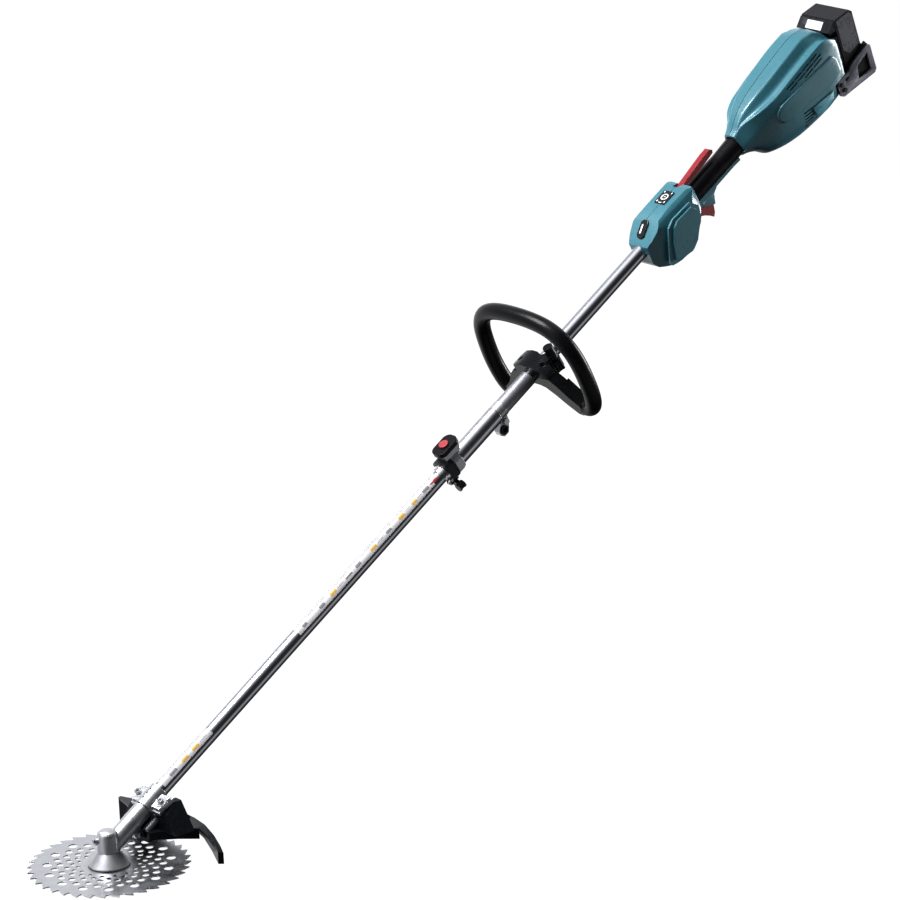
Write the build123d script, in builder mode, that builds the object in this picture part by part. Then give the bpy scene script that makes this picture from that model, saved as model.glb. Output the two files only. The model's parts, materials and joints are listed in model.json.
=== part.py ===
"""Split-shaft battery brush cutter: a metal-blade gear head, a two-piece pipe with a
quick joint, a loop handle, a control box with trigger, and a rear motor and battery.

Millimetres.  +Z up is the blade spindle, +X runs back toward the motor, Y is across and
-Y is the operator's left.  The origin is the centre of the flat underside of the rest cup
below the blade.  Along the tool the dimensions are given as u (along the pipe, rearward),
y (across) and v (square to the pipe, upward), from where the pipe axis meets the spindle.
"""
from build123d import *
import os
from math import atan, cos, degrees, radians, sin

# ================================================================ driving sizes
TILT = 31.0                 # pipe elevation above the ground
Z_CROSS = 45.0              # height where the pipe axis meets the spindle axis
FIT = 0.05                  # radial running and seating clearance
LEFT, RIGHT = -1, 1         # signs of y

PIPE_R, PIPE_BORE = 12.7, 11.2
SEAT = PIPE_R + FIT         # radius of every bore that sits on the pipe
LOWER_PIPE_U = (44.0, 880.0)
UPPER_PIPE_U = (884.0, 1650.0)
SHAFT_R = 3.5

SPINDLE_R = 5.0
JOURNAL_R = 7.5             # thicker part of the spindle, in the lower bearing
AXLE_R = 5.0                # pinion and motor shafts in the pipe-axis bearings
AXLE_BEARING_R, AXLE_BEARING_T = 11.0, 6.0
PINION_BEARINGS_U = (24.0, 36.0)
MOTOR_BEARINGS_U = (1672.0, 1762.0)

COS_TILT, SIN_TILT = cos(radians(TILT)), sin(radians(TILT))
ALONG = (COS_TILT, 0, SIN_TILT)         # unit vector of u
UPWARD = (-SIN_TILT, 0, COS_TILT)       # unit vector of v


# ================================================================ planes
def turned(angle):
    """ALONG and UPWARD turned together, raising ALONG by an angle in degrees."""
    c, s = cos(radians(angle)), sin(radians(angle))
    along = tuple(a * c + b * s for a, b in zip(ALONG, UPWARD))
    upward = tuple(b * c - a * s for a, b in zip(ALONG, UPWARD))
    return along, upward


def pipe_point(u, y, v):
    """World point for a place given along, across and square to the pipe."""
    return (u * COS_TILT - v * SIN_TILT, y, Z_CROSS + u * SIN_TILT + v * COS_TILT)


def across(u):
    """Section plane square to the pipe: x is across, y is v, facing +u."""
    return Plane(origin=pipe_point(u, 0, 0), x_dir=(0, 1, 0), z_dir=ALONG)


def side(y=0, u=0, v=0):
    """Lengthwise plane: x is u, y is v, facing -Y."""
    return Plane(origin=pipe_point(u, y, v), x_dir=ALONG, z_dir=(0, -1, 0))


def top(v=0, u=0, y=0):
    """Plan plane along the pipe: x is u, y is across, facing +v."""
    return Plane(origin=pipe_point(u, y, v), x_dir=ALONG, z_dir=UPWARD)


def level(z):
    """Plan plane square to the spindle."""
    return Plane(origin=(0, 0, z), x_dir=(1, 0, 0), z_dir=(0, 0, 1))


def facing_back(x, z=0):
    """Upright plane square to world X: x is across, y is Z, facing +X."""
    return Plane(origin=(x, 0, z), x_dir=(0, 1, 0), z_dir=(1, 0, 0))


# ================================================================ basic forms
def rod(plane, radius, length, x=0.0, y=0.0, bore=0.0):
    """Round bar or tube standing on a plane."""
    with BuildPart() as bar:
        with BuildSketch(plane):
            with Locations((x, y)):
                Circle(radius)
                if bore:
                    Circle(bore, mode=Mode.SUBTRACT)
        extrude(amount=length)
    return bar.part


def hex_bar(plane, radius, length):
    """Hexagonal bar standing on a plane; the radius is to the corners."""
    with BuildPart() as bar:
        with BuildSketch(plane):
            RegularPolygon(radius, 6)
        extrude(amount=length)
    return bar.part


def prism(plane, outline, length, both=False):
    """Straight prism of a closed outline standing on a plane."""
    with BuildPart() as body:
        with BuildSketch(plane):
            with BuildLine():
                Polyline(*outline, close=True)
            make_face()
        extrude(amount=length, both=both)
    return body.part


def block(plane, width, height, length, x=0.0, y=0.0, corner=0.0):
    """Rectangular block standing on a plane, optionally with rounded corners."""
    with BuildPart() as body:
        with BuildSketch(plane):
            with Locations((x, y)):
                if corner:
                    RectangleRounded(width, height, corner)
                else:
                    Rectangle(width, height)
        extrude(amount=length)
    return body.part


def spun(outline):
    """Solid of revolution of an (r, z) outline about the spindle."""
    with BuildPart() as body:
        with BuildSketch(Plane.XZ):
            with BuildLine():
                Polyline(*outline, close=True)
            make_face()
        revolve(axis=Axis.Z)
    return body.part


def cut(shape):
    """Take a shape away from the part being built."""
    add(shape, mode=Mode.SUBTRACT)


def common(shape):
    """Keep only what the part being built shares with a shape."""
    add(shape, mode=Mode.INTERSECT)


def three_view(side_view, plan_view, cross_view, half_height, u_start, length):
    """The body shared by a side, a plan and a cross outline."""
    with BuildPart() as body:
        add(prism(side(), side_view, 60, both=True))
        common(prism(top(-half_height), plan_view, 2 * half_height))
        common(prism(across(u_start), cross_view, length))
    return body.part


def cut_bolt_pair(u, y, v, radius, depth):
    """Drill upward from height v at both +y and -y."""
    for s in (LEFT, RIGHT):
        cut(rod(top(v, u, s * y), radius, depth))


def cut_cross_hole(place, radius):
    """Drill right across the tool at a (u, v) place."""
    cut(rod(side(20, *place), radius, 40))


def mirrored_x(half):
    """Close a half outline with its mirror image in x."""
    return half + [(-x, y) for x, y in reversed(half)]


def mirrored_y(half):
    """Close a half outline with its mirror image in y."""
    return half + [(x, -y) for x, y in reversed(half)]


# ================================================================ blade and its clamping stack
BLADE_R, BLADE_BORE_R = 127.5, 12.7
BLADE_T = 1.8
Z_BLADE = 18.0              # blade mid-plane above the rest face
BLADE_LOW, BLADE_TOP = Z_BLADE - BLADE_T / 2, Z_BLADE + BLADE_T / 2
WASHER_BORE = SPINDLE_R + 0.1
TEETH = 36
# one tooth: (depth below the blade radius, degrees from the tooth's start)
TOOTH = ((10.2, 0.6), (9.2, 2.3), (6.2, 4.2), (1.4, 8.2), (0.0, 9.3), (6.5, 9.75))
HOLES_PER_RING = 15
HOLE_PHASE = -128.1
# lightening holes: (ring radius, hole diameter, degrees past HOLE_PHASE)
RINGS = ((96.6, 15.2, 0), (84.2, 12.5, 12), (76.0, 11.6, 0),
         (65.0, 10.5, 12), (56.0, 8.9, 0), (47.8, 7.5, 12))


def saw_blade():
    """Flat disc with 36 teeth and six rings of lightening holes."""
    outline = []
    for k in range(TEETH):
        for depth, turn in TOOTH:
            angle = radians(k * 360.0 / TEETH + turn)
            outline.append(((BLADE_R - depth) * cos(angle), (BLADE_R - depth) * sin(angle)))
    with BuildPart() as blade:
        with BuildSketch(level(BLADE_LOW)):
            with BuildLine():
                Polyline(*outline, close=True)
            make_face()
            Circle(BLADE_BORE_R, mode=Mode.SUBTRACT)
            for ring_r, hole_d, shift in RINGS:
                with PolarLocations(ring_r, HOLES_PER_RING, start_angle=HOLE_PHASE + shift):
                    Circle(hole_d / 2, mode=Mode.SUBTRACT)
        extrude(amount=BLADE_T)
    return blade.part


def blade_washers():
    """Upper washer with a spigot in the blade's bore, and the washer below the blade."""
    spigot_r = BLADE_BORE_R - 0.1
    with BuildPart() as washers:
        add(spun([(WASHER_BORE, 17.3), (spigot_r, 17.3), (spigot_r, BLADE_TOP), (25, BLADE_TOP),
                  (25, 20.6), (21, 23.5), (11, 25.0), (WASHER_BORE, 25.0)]))
        add(spun([(WASHER_BORE, 13.05), (19, 13.05), (20.5, 14.2), (20.5, BLADE_LOW),
                  (WASHER_BORE, BLADE_LOW)]))
    return washers.part


def rest_cup():
    """Thin cup under the blade whose flat underside is z = 0."""
    return spun([(WASHER_BORE, 11), (12, 11), (12, 0.9), (12.9, 0), (24, 0), (27, 0.9), (31, 5),
                 (34, 12), (34, 16.6), (32.3, 16.6), (32.3, 12.3), (29.6, 6.2), (26, 2.6),
                 (23.5, 1.8), (14, 1.8), (14, 13), (WASHER_BORE, 13)])


def blade_nut():
    """Hexagon nut inside the rest cup."""
    with BuildPart() as nut:
        with BuildSketch(level(3.6)):
            RegularPolygon(9.8, 6)
            Circle(SPINDLE_R + FIT, mode=Mode.SUBTRACT)
        extrude(amount=7.3)
    return nut.part


def output_spindle():
    """Upright shaft carrying the blade and the bevel gear."""
    return spun([(0, 2.4), (4.3, 2.4), (SPINDLE_R, 3.2), (SPINDLE_R, 25.1), (9, 25.1), (9, 26.8),
                 (JOURNAL_R, 26.8), (JOURNAL_R, 39.5), (SPINDLE_R, 40.5), (SPINDLE_R, 71.0),
                 (4.4, 71.6), (0, 71.6)])


# ================================================================ bevel pair
# Both pitch cones meet where the pipe axis crosses the spindle.
SHAFT_ANGLE = 90.0 - TILT
PINION_TEETH, GEAR_TEETH = 11, 15
PINION_CONE = degrees(atan(sin(radians(SHAFT_ANGLE))
                           / (GEAR_TEETH / PINION_TEETH + cos(radians(SHAFT_ANGLE)))))
GEAR_CONE = SHAFT_ANGLE - PINION_CONE
CONE_INNER, CONE_OUTER = 13.5, 20.0     # cone distances of the tooth ends
TOOTH_ROOT, TOOTH_TIP = (1.15, 1.9), (0.42, 1.0)    # (half thickness, distance from pitch)


def bevel_tooth(axis, ref, third, cone, phase):
    """One straight tooth lofted between similar trapezoids at the ends of its face width.

    The three directions are right-handed; the cone angle and phase are in degrees.
    """
    cone, phase = radians(cone), radians(phase)
    spoke = [r * cos(phase) + t * sin(phase) for r, t in zip(ref, third)]
    tangent = [t * cos(phase) - r * sin(phase) for r, t in zip(ref, third)]
    slant = [a * cos(cone) + s * sin(cone) for a, s in zip(axis, spoke)]
    with BuildPart() as tooth:
        for distance in (CONE_OUTER, CONE_INNER):
            scale = distance / CONE_OUTER
            root_x, root_y = (scale * size for size in TOOTH_ROOT)
            tip_x, tip_y = (scale * size for size in TOOTH_TIP)
            # local x runs along the tooth thickness, local y toward the gear's axis
            origin = (slant[0] * distance, slant[1] * distance, slant[2] * distance + Z_CROSS)
            with BuildSketch(Plane(origin=origin, x_dir=tuple(tangent), z_dir=tuple(slant))):
                with BuildLine():
                    Polyline((-root_x, root_y), (root_x, root_y),
                             (tip_x, -tip_y), (-tip_x, -tip_y), close=True)
                make_face()
        loft()
    return tooth.part


def bevel_gear():
    """Gear on the spindle; a tooth faces the pinion."""
    bore = SPINDLE_R + FIT
    # (r, height above the crossing point)
    blank = ((bore, 11.6), (6.79, 11.67), (10.06, 17.28), (10.06, 19.4), (8.2, 21.4),
             (bore, 21.4))
    with BuildPart() as gear:
        add(spun([(r, Z_CROSS + z) for r, z in blank]))
        for k in range(GEAR_TEETH):
            add(bevel_tooth((0, 0, 1), (1, 0, 0), (0, 1, 0), GEAR_CONE, k * 360.0 / GEAR_TEETH))
        cut(rod(level(Z_CROSS + 5), bore, 25))
    return gear.part


def bevel_pinion():
    """Pinion and its shaft on the pipe axis; a gap faces the gear."""
    with BuildPart() as pinion:
        with BuildSketch(side()):
            with BuildLine():
                Polyline((12.67, 0), (12.67, 4.62), (18.77, 6.86), (22.0, 6.86), (22.0, AXLE_R),
                         (46.0, AXLE_R), (46.0, 0), close=True)
            make_face()
        revolve(axis=Axis(pipe_point(0, 0, 0), ALONG))
        for k in range(PINION_TEETH):
            add(bevel_tooth(ALONG, UPWARD, (0, -1, 0), PINION_CONE,
                            (k + 0.5) * 360.0 / PINION_TEETH))
        # socket for the end of the drive shaft
        cut(rod(across(34), 3.0 + FIT, 13))
    return pinion.part


# ================================================================ gear head
LOWER_BEARING_Z, LOWER_BEARING_R, LOWER_BEARING_T = 28.0, 15.0, 9.0
UPPER_BEARING_Z, UPPER_BEARING_R, UPPER_BEARING_T = 67.0, 9.5, 4.4
BOX_TOP_Z = 41.0                        # top of the bearing box
CASE_Z = BOX_TOP_Z + FIT                # underside of the gear case
NECK_BOLT = (51.5, -20.0)               # (u, v)
NECK_BOLT_R = 2.5


def bearings():
    """Plain rings: two on the spindle, two at the pinion, two at the motor."""
    with BuildPart() as rings:
        add(rod(level(LOWER_BEARING_Z), LOWER_BEARING_R, LOWER_BEARING_T, bore=JOURNAL_R + FIT))
        add(rod(level(UPPER_BEARING_Z), UPPER_BEARING_R, UPPER_BEARING_T, bore=SPINDLE_R + FIT))
        for u in PINION_BEARINGS_U + MOTOR_BEARINGS_U:
            add(rod(across(u), AXLE_BEARING_R, AXLE_BEARING_T, bore=AXLE_R + FIT))
    return rings.part


def bearing_box():
    """Conical skirt under the gear case."""
    seat_r = LOWER_BEARING_R + FIT
    seat_z = LOWER_BEARING_Z + LOWER_BEARING_T + FIT
    return spun([(33, 20.2), (33, 22), (17.6, BOX_TOP_Z), (8.2, BOX_TOP_Z), (8.2, seat_z),
                 (seat_r, seat_z), (seat_r, 27.6), (26.3, 27.6), (31.5, 21.4), (31.5, 20.2)])


def grease_plane(x, y):
    """Plane at the height of the grease plug, facing forward and slightly to +Y."""
    return Plane(origin=(x, y, 60), x_dir=(0, 1, 0), z_dir=(-0.94, 0.342, 0))


def gear_case():
    """Upright barrel with a domed top and the coaxial neck for the pipe."""
    bearing_r = UPPER_BEARING_R + FIT
    with BuildPart() as case:
        add(spun([(0, CASE_Z), (0, 77), (6, 76.7), (10.5, 75.6), (13.8, 73.6), (15.8, 71.0),
                  (16.5, 68.0), (16.5, CASE_Z)]))
        add(rod(across(2), 15.5, 82))
        add(rod(across(57), 16.1, 2.2))
        # grease boss on the front of the barrel
        add(rod(grease_plane(-14, 5.1), 5.4, 5.2))
        # clear what hangs below the case's underside
        cut(block(level(10), 140, 80, CASE_Z - 10, 30, 0))
        # pinch ears under the neck
        add(block(across(44), 17, 11, 15, 0, -18.5, 1.5))
        # gear chamber and upper bearing seat
        cut(spun([(0, 40), (13.6, 40), (13.6, 66.9), (bearing_r, 66.9), (bearing_r, 71.6),
                  (7.5, 73.2), (0, 73.2)]))
        cut(rod(across(8), AXLE_BEARING_R + FIT, 36))
        cut(rod(across(43.6), SEAT, 42))
        # pinch slit and bolt hole
        cut(block(across(43), 1.6, 16, 43, 0, -18))
        cut(rod(side(12, *NECK_BOLT), NECK_BOLT_R + 0.1, 24))
        cut(rod(grease_plane(-9, 3.27), 3.0 + FIT, 14))
    return case.part


def grease_plug():
    """Round plug with a hexagon head."""
    seat = grease_plane(-13.2, 4.8)
    with BuildPart() as plug:
        add(rod(seat, 3.0, 8.5))
        add(hex_bar(seat.offset(6.4), 4.6, 3.0))
    return plug.part


# ================================================================ guard
CLAMP_U0, CLAMP_U1 = 86.0, 124.0        # guard clamp along the pipe
CLAMP_LENGTH = CLAMP_U1 - CLAMP_U0
CLAMP_R = 16.6
GUARD_BOLT_U, GUARD_BOLT_Y = (CLAMP_U0 + CLAMP_U1) / 2, 28
M6_R, M6_HOLE_R = 3.0, 3.1
TUBE_R, TUBE_Y, TUBE_V = 6.5, 14.2, -22.3   # round bosses on the front of the bracket


def guard_clamp():
    """Upper half of the clamp, with a bolt ear on each side."""
    with BuildPart() as clamp:
        add(rod(across(CLAMP_U0), CLAMP_R, CLAMP_LENGTH))
        add(block(across(CLAMP_U0 + 6), 70, 5.0, CLAMP_LENGTH - 12, 0, 2.7, 1.2))
        for s in (LEFT, RIGHT):
            add(rod(top(0.2, GUARD_BOLT_U, s * GUARD_BOLT_Y), 9.5, 6.0))
        cut(block(across(CLAMP_U0 - 5), 90, 60, 60, 0, -29.8))
        cut(rod(across(CLAMP_U0 - 5), SEAT, 60))
        cut_bolt_pair(GUARD_BOLT_U, GUARD_BOLT_Y, -20, M6_HOLE_R, 40)
        # three pits along the crown
        for u in (96, 105, 114):
            cut(rod(top(14.6, u, 0), 1.6, 4))
    return clamp.part


def guard_bracket():
    """Lower half of the clamp, with a box below it and two round bosses in front."""
    with BuildPart() as bracket:
        add(rod(across(CLAMP_U0), CLAMP_R, CLAMP_LENGTH))
        add(block(across(CLAMP_U0), 42, 18, CLAMP_LENGTH, 0, -17, 2.0))
        add(block(across(CLAMP_U0 + 2), 72, 6.4, CLAMP_LENGTH - 4, 0, -3.6, 1.2))
        for s in (LEFT, RIGHT):
            add(rod(across(62), TUBE_R, 26, s * TUBE_Y, TUBE_V))
        cut(block(across(CLAMP_U0 - 5), 90, 60, 60, 0, 29.8))
        cut(rod(across(CLAMP_U0 - 5), SEAT, 60))
        cut_bolt_pair(GUARD_BOLT_U, GUARD_BOLT_Y, -20, M6_HOLE_R, 40)
    return bracket.part


# Guard outlines in world plan, (x, y); the ends flare past the blade's edge.
WALL_OUTER_EDGE = [(125, -129), (134, -97), (142, -66), (148.5, -31), (150.5, 0),
                   (148.5, 31), (142, 66), (134, 97), (125, 129)]
WALL_INNER_EDGE = [(119, 126), (129, 95), (137.5, 65), (144, 30), (146, 0),
                   (144, -30), (137.5, -65), (129, -95), (117, -125)]
WALL_PLAN = WALL_OUTER_EDGE + WALL_INNER_EDGE
PLATE_PLAN = ([(61, -27), (100, -48), (128, -67), (124, -94), (119, -124)] + WALL_OUTER_EDGE
              + [(119, 124), (112, 97), (100, 70), (61, 27)])
RIB_PLAN = [(61, -27), (100, -48), (128, -67), (129.5, -64), (101.5, -45), (64, -24.5),
            (64, 24.5), (102, 66.5), (99.5, 69.5), (61, 27)]
# Guard outlines seen along world X, (y, z).
WALL_VIEW = [(-132, 34), (-118, 44), (-96, 53), (-62, 59), (62, 59), (132, 57), (132, 16),
             (100, 20), (66, 30), (30, 44), (-30, 44), (-66, 38), (-98, 27), (-132, 17)]
PLATE_VIEW = [(-132, 34), (-118, 44), (-96, 53), (-62, 59), (62, 59), (132, 57), (132, 53),
              (60, 55.4), (-60, 55.4), (-95, 48.6), (-116, 38), (-132, 28)]
RIB_VIEW = [(-70, 58), (-27, 58), (27, 58), (74, 58), (74, 44), (27, 47), (-27, 47), (-70, 40)]
# Hub under the bracket, seen from -Y, (x, z).
HUB_VIEW = [(61, 42), (140, 46), (146, 58), (124, 86), (87.6, 66.3), (85.9, 61.3),
            (67.0, 50.0), (61, 47)]


def guard_sheet(plan, view):
    """The body shared by a plan outline and one seen along X."""
    with BuildPart() as sheet:
        add(prism(level(10), plan, 60))
        common(prism(facing_back(40), view, 130))
    return sheet.part


def guard():
    """Curved rear wall, top plate, ribs and hub in one piece."""
    with BuildPart() as body:
        add(guard_sheet(WALL_PLAN, WALL_VIEW))
        add(guard_sheet(PLATE_PLAN, PLATE_VIEW))
        add(guard_sheet(RIB_PLAN, RIB_VIEW))
        add(prism(Plane(origin=(0, 24, 0), x_dir=(1, 0, 0), z_dir=(0, -1, 0)), HUB_VIEW, 48))
        # gusset boxes rising to the clamp ears on both sides
        for s in (LEFT, RIGHT):
            add(prism(facing_back(84),
                      [(s * 22.5, 100), (s * 36, 100), (s * 66, 57), (s * 22.5, 57)], 36))
        # everything above the underside of the clamp ears is cut away
        cut(block(top(-7.0, 100, 0), 260, 400, 120))
        # room for the bracket, the neck and the round bosses
        cut(block(across(80), 43, 20.4, 60, 0, -16.2))
        cut(rod(across(20), 17.0, 80))
        cut(block(across(40), 24, 31, 20.8, 0, -11))
        for s in (LEFT, RIGHT):
            cut(rod(across(50), TUBE_R + 0.5, 40, s * TUBE_Y, TUBE_V))
        cut_bolt_pair(GUARD_BOLT_U, GUARD_BOLT_Y, -16, M6_HOLE_R, 30)
    return body.part


# ================================================================ pipes and drive line
BUSHES_U = (150, 380, 610, 820, 950, 1180, 1420, 1610)


def pipe(ends):
    """Tube between two places along the pipe axis."""
    return rod(across(ends[0]), PIPE_R, ends[1] - ends[0], bore=PIPE_BORE)


def lower_pipe():
    return pipe(LOWER_PIPE_U)


def upper_pipe():
    return pipe(UPPER_PIPE_U)


def lower_drive_shaft():
    """Shaft with a thinner front end in the pinion."""
    with BuildPart() as shaft:
        add(rod(across(36), 3.0, 12))
        add(rod(across(46.5), SHAFT_R, 836))
    return shaft.part


def upper_drive_shaft():
    """Shaft with the sleeve that couples it to the lower one."""
    with BuildPart() as shaft:
        add(rod(across(883.5), SHAFT_R, 766.5))
        add(rod(across(866), 7.0, 34, bore=SHAFT_R + FIT))
        add(rod(across(883.6), SHAFT_R + 0.5, 16.0))
    return shaft.part


def shaft_bushes():
    """Eight bushes that centre the shafts in the pipes."""
    with BuildPart() as bushes:
        for u in BUSHES_U:
            add(rod(across(u), PIPE_BORE - FIT, 14, bore=SHAFT_R + FIT))
    return bushes.part


# ================================================================ quick joint
CLAMP_PIN = (4, -24.5)                  # lever pivot, (y, v)
CLAMP_PIN_R = 2.5
LEVER_CAP = (-11.5, -36)                # cap at the lever's free end, (y, v)
LEVER_CAP_PIN_R = 2.95
RELEASE_U = 865
BUTTON_STEM_R, BUTTON_HEAD_R = 4.1, 8.5
CLAMP_SECTION = mirrored_x([(-12, -18.5), (-17.5, -13), (-17.5, 13), (-13, 18.5)])  # (y, v)
BODY_SECTION = mirrored_x([(-9, -19), (-19, -8), (-19, 9), (-11, 19)])              # (y, v)
LEVER_SECTION = [(9.0, -21.2), (10.4, -26), (6.5, -31), (-8, -42), (-15, -41), (-17.6, -35),
                 (-13, -29.5), (-1, -22.0)]                                         # (y, v)


def joint_collar():
    """Stepped ring in front of the clamp."""
    with BuildPart() as collar:
        for u, radius, length in ((826.5, 16.6, 4.0), (830.5, 15.4, 3.0), (833.5, 17.2, 4.2)):
            add(rod(across(u), radius, length, bore=SEAT))
    return collar.part


def joint_clamp():
    """Eight-sided clamp with two lugs below for the lever."""
    with BuildPart() as clamp:
        add(prism(across(838), CLAMP_SECTION, 18))
        for u in (838.2, 850.8):
            add(block(across(u), 15, 14, 5.0, 3, -23.0, 4.0))
        cut(rod(across(830), SEAT, 40))
        cut(rod(across(830), CLAMP_PIN_R + FIT, 40, *CLAMP_PIN))
    return clamp.part


def joint_body():
    """Eight-sided body with the raised seat of the lock plate."""
    with BuildPart() as body:
        add(prism(across(856.2), BODY_SECTION, 15.6))
        add(prism(side(-11.5), [(848, 18.7), (880, 16.5), (884, 29.5), (847, 29.5)], -23))
        cut(rod(across(850), SEAT, 40))
        # clear the clamp in front and the sleeve behind
        cut(block(across(846), 30, 36, 10.1, 0, 0.6))
        cut(rod(across(870), 17, 30))
        cut(rod(top(20, RELEASE_U, 0), BUTTON_STEM_R + 0.1, 20))
    return body.part


def joint_sleeve():
    """Plain tube behind the joint body."""
    with BuildPart() as sleeve:
        add(rod(across(872.0), 16.0, 101.0))
        cut(rod(across(865), SEAT, 120))
    return sleeve.part


def lock_plate():
    """Rounded plate on top of the joint, counterbored for the button."""
    with BuildPart() as plate:
        add(block(top(29.6), 46, 30, 8.4, 865.5, 0, 12))
        cut(rod(top(29, RELEASE_U, 0), BUTTON_STEM_R + 0.1, 12))
        cut(rod(top(33.5, RELEASE_U, 0), BUTTON_HEAD_R + 0.1, 12))
    return plate.part


def release_button():
    with BuildPart() as button:
        add(rod(top(24, RELEASE_U, 0), BUTTON_STEM_R, 14))
        add(rod(top(37, RELEASE_U, 0), BUTTON_HEAD_R, 4.2))
    return button.part


def clamp_lever():
    """Lever under the clamp, with a round cap on each face of its free end."""
    with BuildPart() as lever:
        add(prism(across(843.4), LEVER_SECTION, 7.2))
        cut(rod(across(840), CLAMP_PIN_R + FIT, 14, *CLAMP_PIN))
        cut(rod(across(840), LEVER_CAP_PIN_R + FIT, 14, *LEVER_CAP))
    with BuildPart() as cap:
        for u in (840.4, 850.7):
            add(rod(across(u), 7.0, 2.9, *LEVER_CAP))
        add(rod(across(843.2), LEVER_CAP_PIN_R, 7.6, *LEVER_CAP))
    with BuildPart() as lever_and_cap:
        add(lever.part)
        add(cap.part)
    return lever_and_cap.part


# ================================================================ hanger
HANGER_U0, HANGER_U1 = 974.0, 991.0
EYE = (971.0, -31.0)                    # (u, v)
EYE_BUSH_R = 6.55
HANGER_BOLT = (981, -20.5)              # (u, v)
HANGER_BOLT_R = 2.5
HANGER_TAB = [(974, -10), (990.5, -10), (988, -22), (982, -34), (976, -41.5), (966, -41.5),
              (960.5, -35), (960.5, -27), (968, -20.5), (974, -17.0)]       # (u, v)


def hanger():
    """Ring on the pipe with an eye hanging below it."""
    with BuildPart() as body:
        add(rod(across(HANGER_U0), 14.6, HANGER_U1 - HANGER_U0))
        add(prism(side(), HANGER_TAB, 6.0, both=True))
        cut(rod(across(HANGER_U0 - 2), SEAT, 30))
        # clear the joint sleeve
        cut(rod(across(955), 17.0, 18.9))
        cut_cross_hole(EYE, EYE_BUSH_R + FIT)
        cut_cross_hole(HANGER_BOLT, HANGER_BOLT_R + 0.1)
    return body.part


def hanger_bush():
    """Flanged lining of the eye."""
    with BuildPart() as bush:
        add(rod(side(8, *EYE), 8.2, 1.9))
        add(rod(side(8, *EYE), EYE_BUSH_R, 16))
        add(rod(side(-6.1, *EYE), 8.2, 1.9))
        cut_cross_hole(EYE, 4.0)
    return bush.part


def cross_bolts():
    """Bolts of the neck and the hanger: round end at -Y, hexagon at +Y."""
    with BuildPart() as bolts:
        add(rod(side(11.5, *NECK_BOLT), NECK_BOLT_R, 21))
        add(rod(side(-8.6, *NECK_BOLT), 4.4, 4.6))
        add(hex_bar(side(11.5, *NECK_BOLT), 4.6, 2.8))
        add(rod(side(9, *HANGER_BOLT), HANGER_BOLT_R, 18))
        add(rod(side(-6.1, *HANGER_BOLT), 5.4, 4.0))
        add(hex_bar(side(9.2, *HANGER_BOLT), 4.8, 3.1))
    return bolts.part


def pipe_cover():
    """Thin tube over the pipe behind the hanger."""
    return rod(across(HANGER_U1 + 0.4), 13.7, 70, bore=SEAT)


# ================================================================ loop handle
LOOP_LEAN = 5.9                         # degrees the loop leans rearward at its top
LOOP_R = 14
HANDLE_BOLT_U, HANDLE_BOLT_Y = 1082, 27
KNOB_U, KNOB_Y = 1106, -27.5
# centre line of the loop in its own plane, (across, up), from the left end
LOOP_LINE = [(-88, -61), (-104, -56), (-114, -38), (-118.5, -8), (-118, 30), (-109, 66),
             (-86, 94), (-46, 108), (0, 111), (42, 108), (79, 94), (101, 66), (110, 30),
             (113, -8), (110, -38), (102, -60), (92, -69)]
CAP_PLAN = [(1066, -30), (1070, -42), (1086, -43), (1093, -24), (1101, 0), (1101, 30),
            (1092, 39), (1072, 39), (1066, 30)]                             # (u, y)
CAP_SECTION = mirrored_x([(-45, 0.3), (-45, 5), (-40, 10.5), (-28, 17.5), (-12, 22.5)])
# left arm, then right arm, (y, v)
BASE_SECTION = [(-43, -0.3), (-55, -12), (-72, -34), (-88.6, -49), (-87, -70), (-76, -69),
                (-58, -54), (-40, -36), (-24, -23), (-12, -20), (0, -20),
                (12, -20), (24, -23), (40, -36), (59, -58), (79, -76), (90, -78), (93, -54),
                (74, -38), (55, -12), (43, -0.3)]


def loop_handle():
    """Round bar swept along the loop."""
    normal = turned(-LOOP_LEAN)[0]
    plane = Plane(origin=pipe_point(1086, 0, 0), x_dir=(0, 1, 0), z_dir=normal)
    with BuildPart() as loop:
        with BuildLine(plane) as path:
            Spline(*LOOP_LINE)
        start = path.line @ 0
        heading = path.line % 0
        with BuildSketch(Plane(origin=start, z_dir=heading)):
            Circle(LOOP_R)
        sweep()
    return loop.part


def handle_cap():
    """Upper half of the handle's clamp, with the boss for the knob."""
    with BuildPart() as cap:
        add(prism(across(1060), CAP_SECTION, 50))
        common(prism(top(-5), CAP_PLAN, 60))
        add(prism(top(13.5), [(1086, -32), (1105, -35), (1106, -18), (1096, -8)], 7))
        add(rod(top(12.5, KNOB_U, KNOB_Y), 8.5, 23.5))
        cut(rod(across(1050), SEAT, 70))
        cut_bolt_pair(HANDLE_BOLT_U, HANDLE_BOLT_Y, -5, M6_HOLE_R, 40)
        cut_bolt_pair(HANDLE_BOLT_U, HANDLE_BOLT_Y, 9.0, 4.8, 40)
        cut(rod(top(5, KNOB_U, KNOB_Y), 3.0 + FIT, 22))
    return cap.part


def handle_base():
    """Lower half of the clamp, with an arm out to each end of the loop."""
    with BuildPart() as base:
        add(prism(across(1068), BASE_SECTION, 26))
        cut(rod(across(1050), SEAT, 70))
        cut(block(across(1090), 30, 40, 10, -43, -2))
        cut_bolt_pair(HANDLE_BOLT_U, HANDLE_BOLT_Y, -40, M6_HOLE_R, 60)
        cut(loop_handle())
    return base.part


def socket_bolt(u, y, tip_v, length, head, socket):
    """Upright bolt; head is (v, radius, height), socket is (v, corner radius)."""
    head_v, head_r, head_height = head
    socket_v, socket_r = socket
    with BuildPart() as bolt:
        add(rod(top(tip_v, u, y), M6_R, length))
        add(rod(top(head_v, u, y), head_r, head_height))
        cut(hex_bar(top(socket_v, u, y), socket_r, 4))
    return bolt.part


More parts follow.
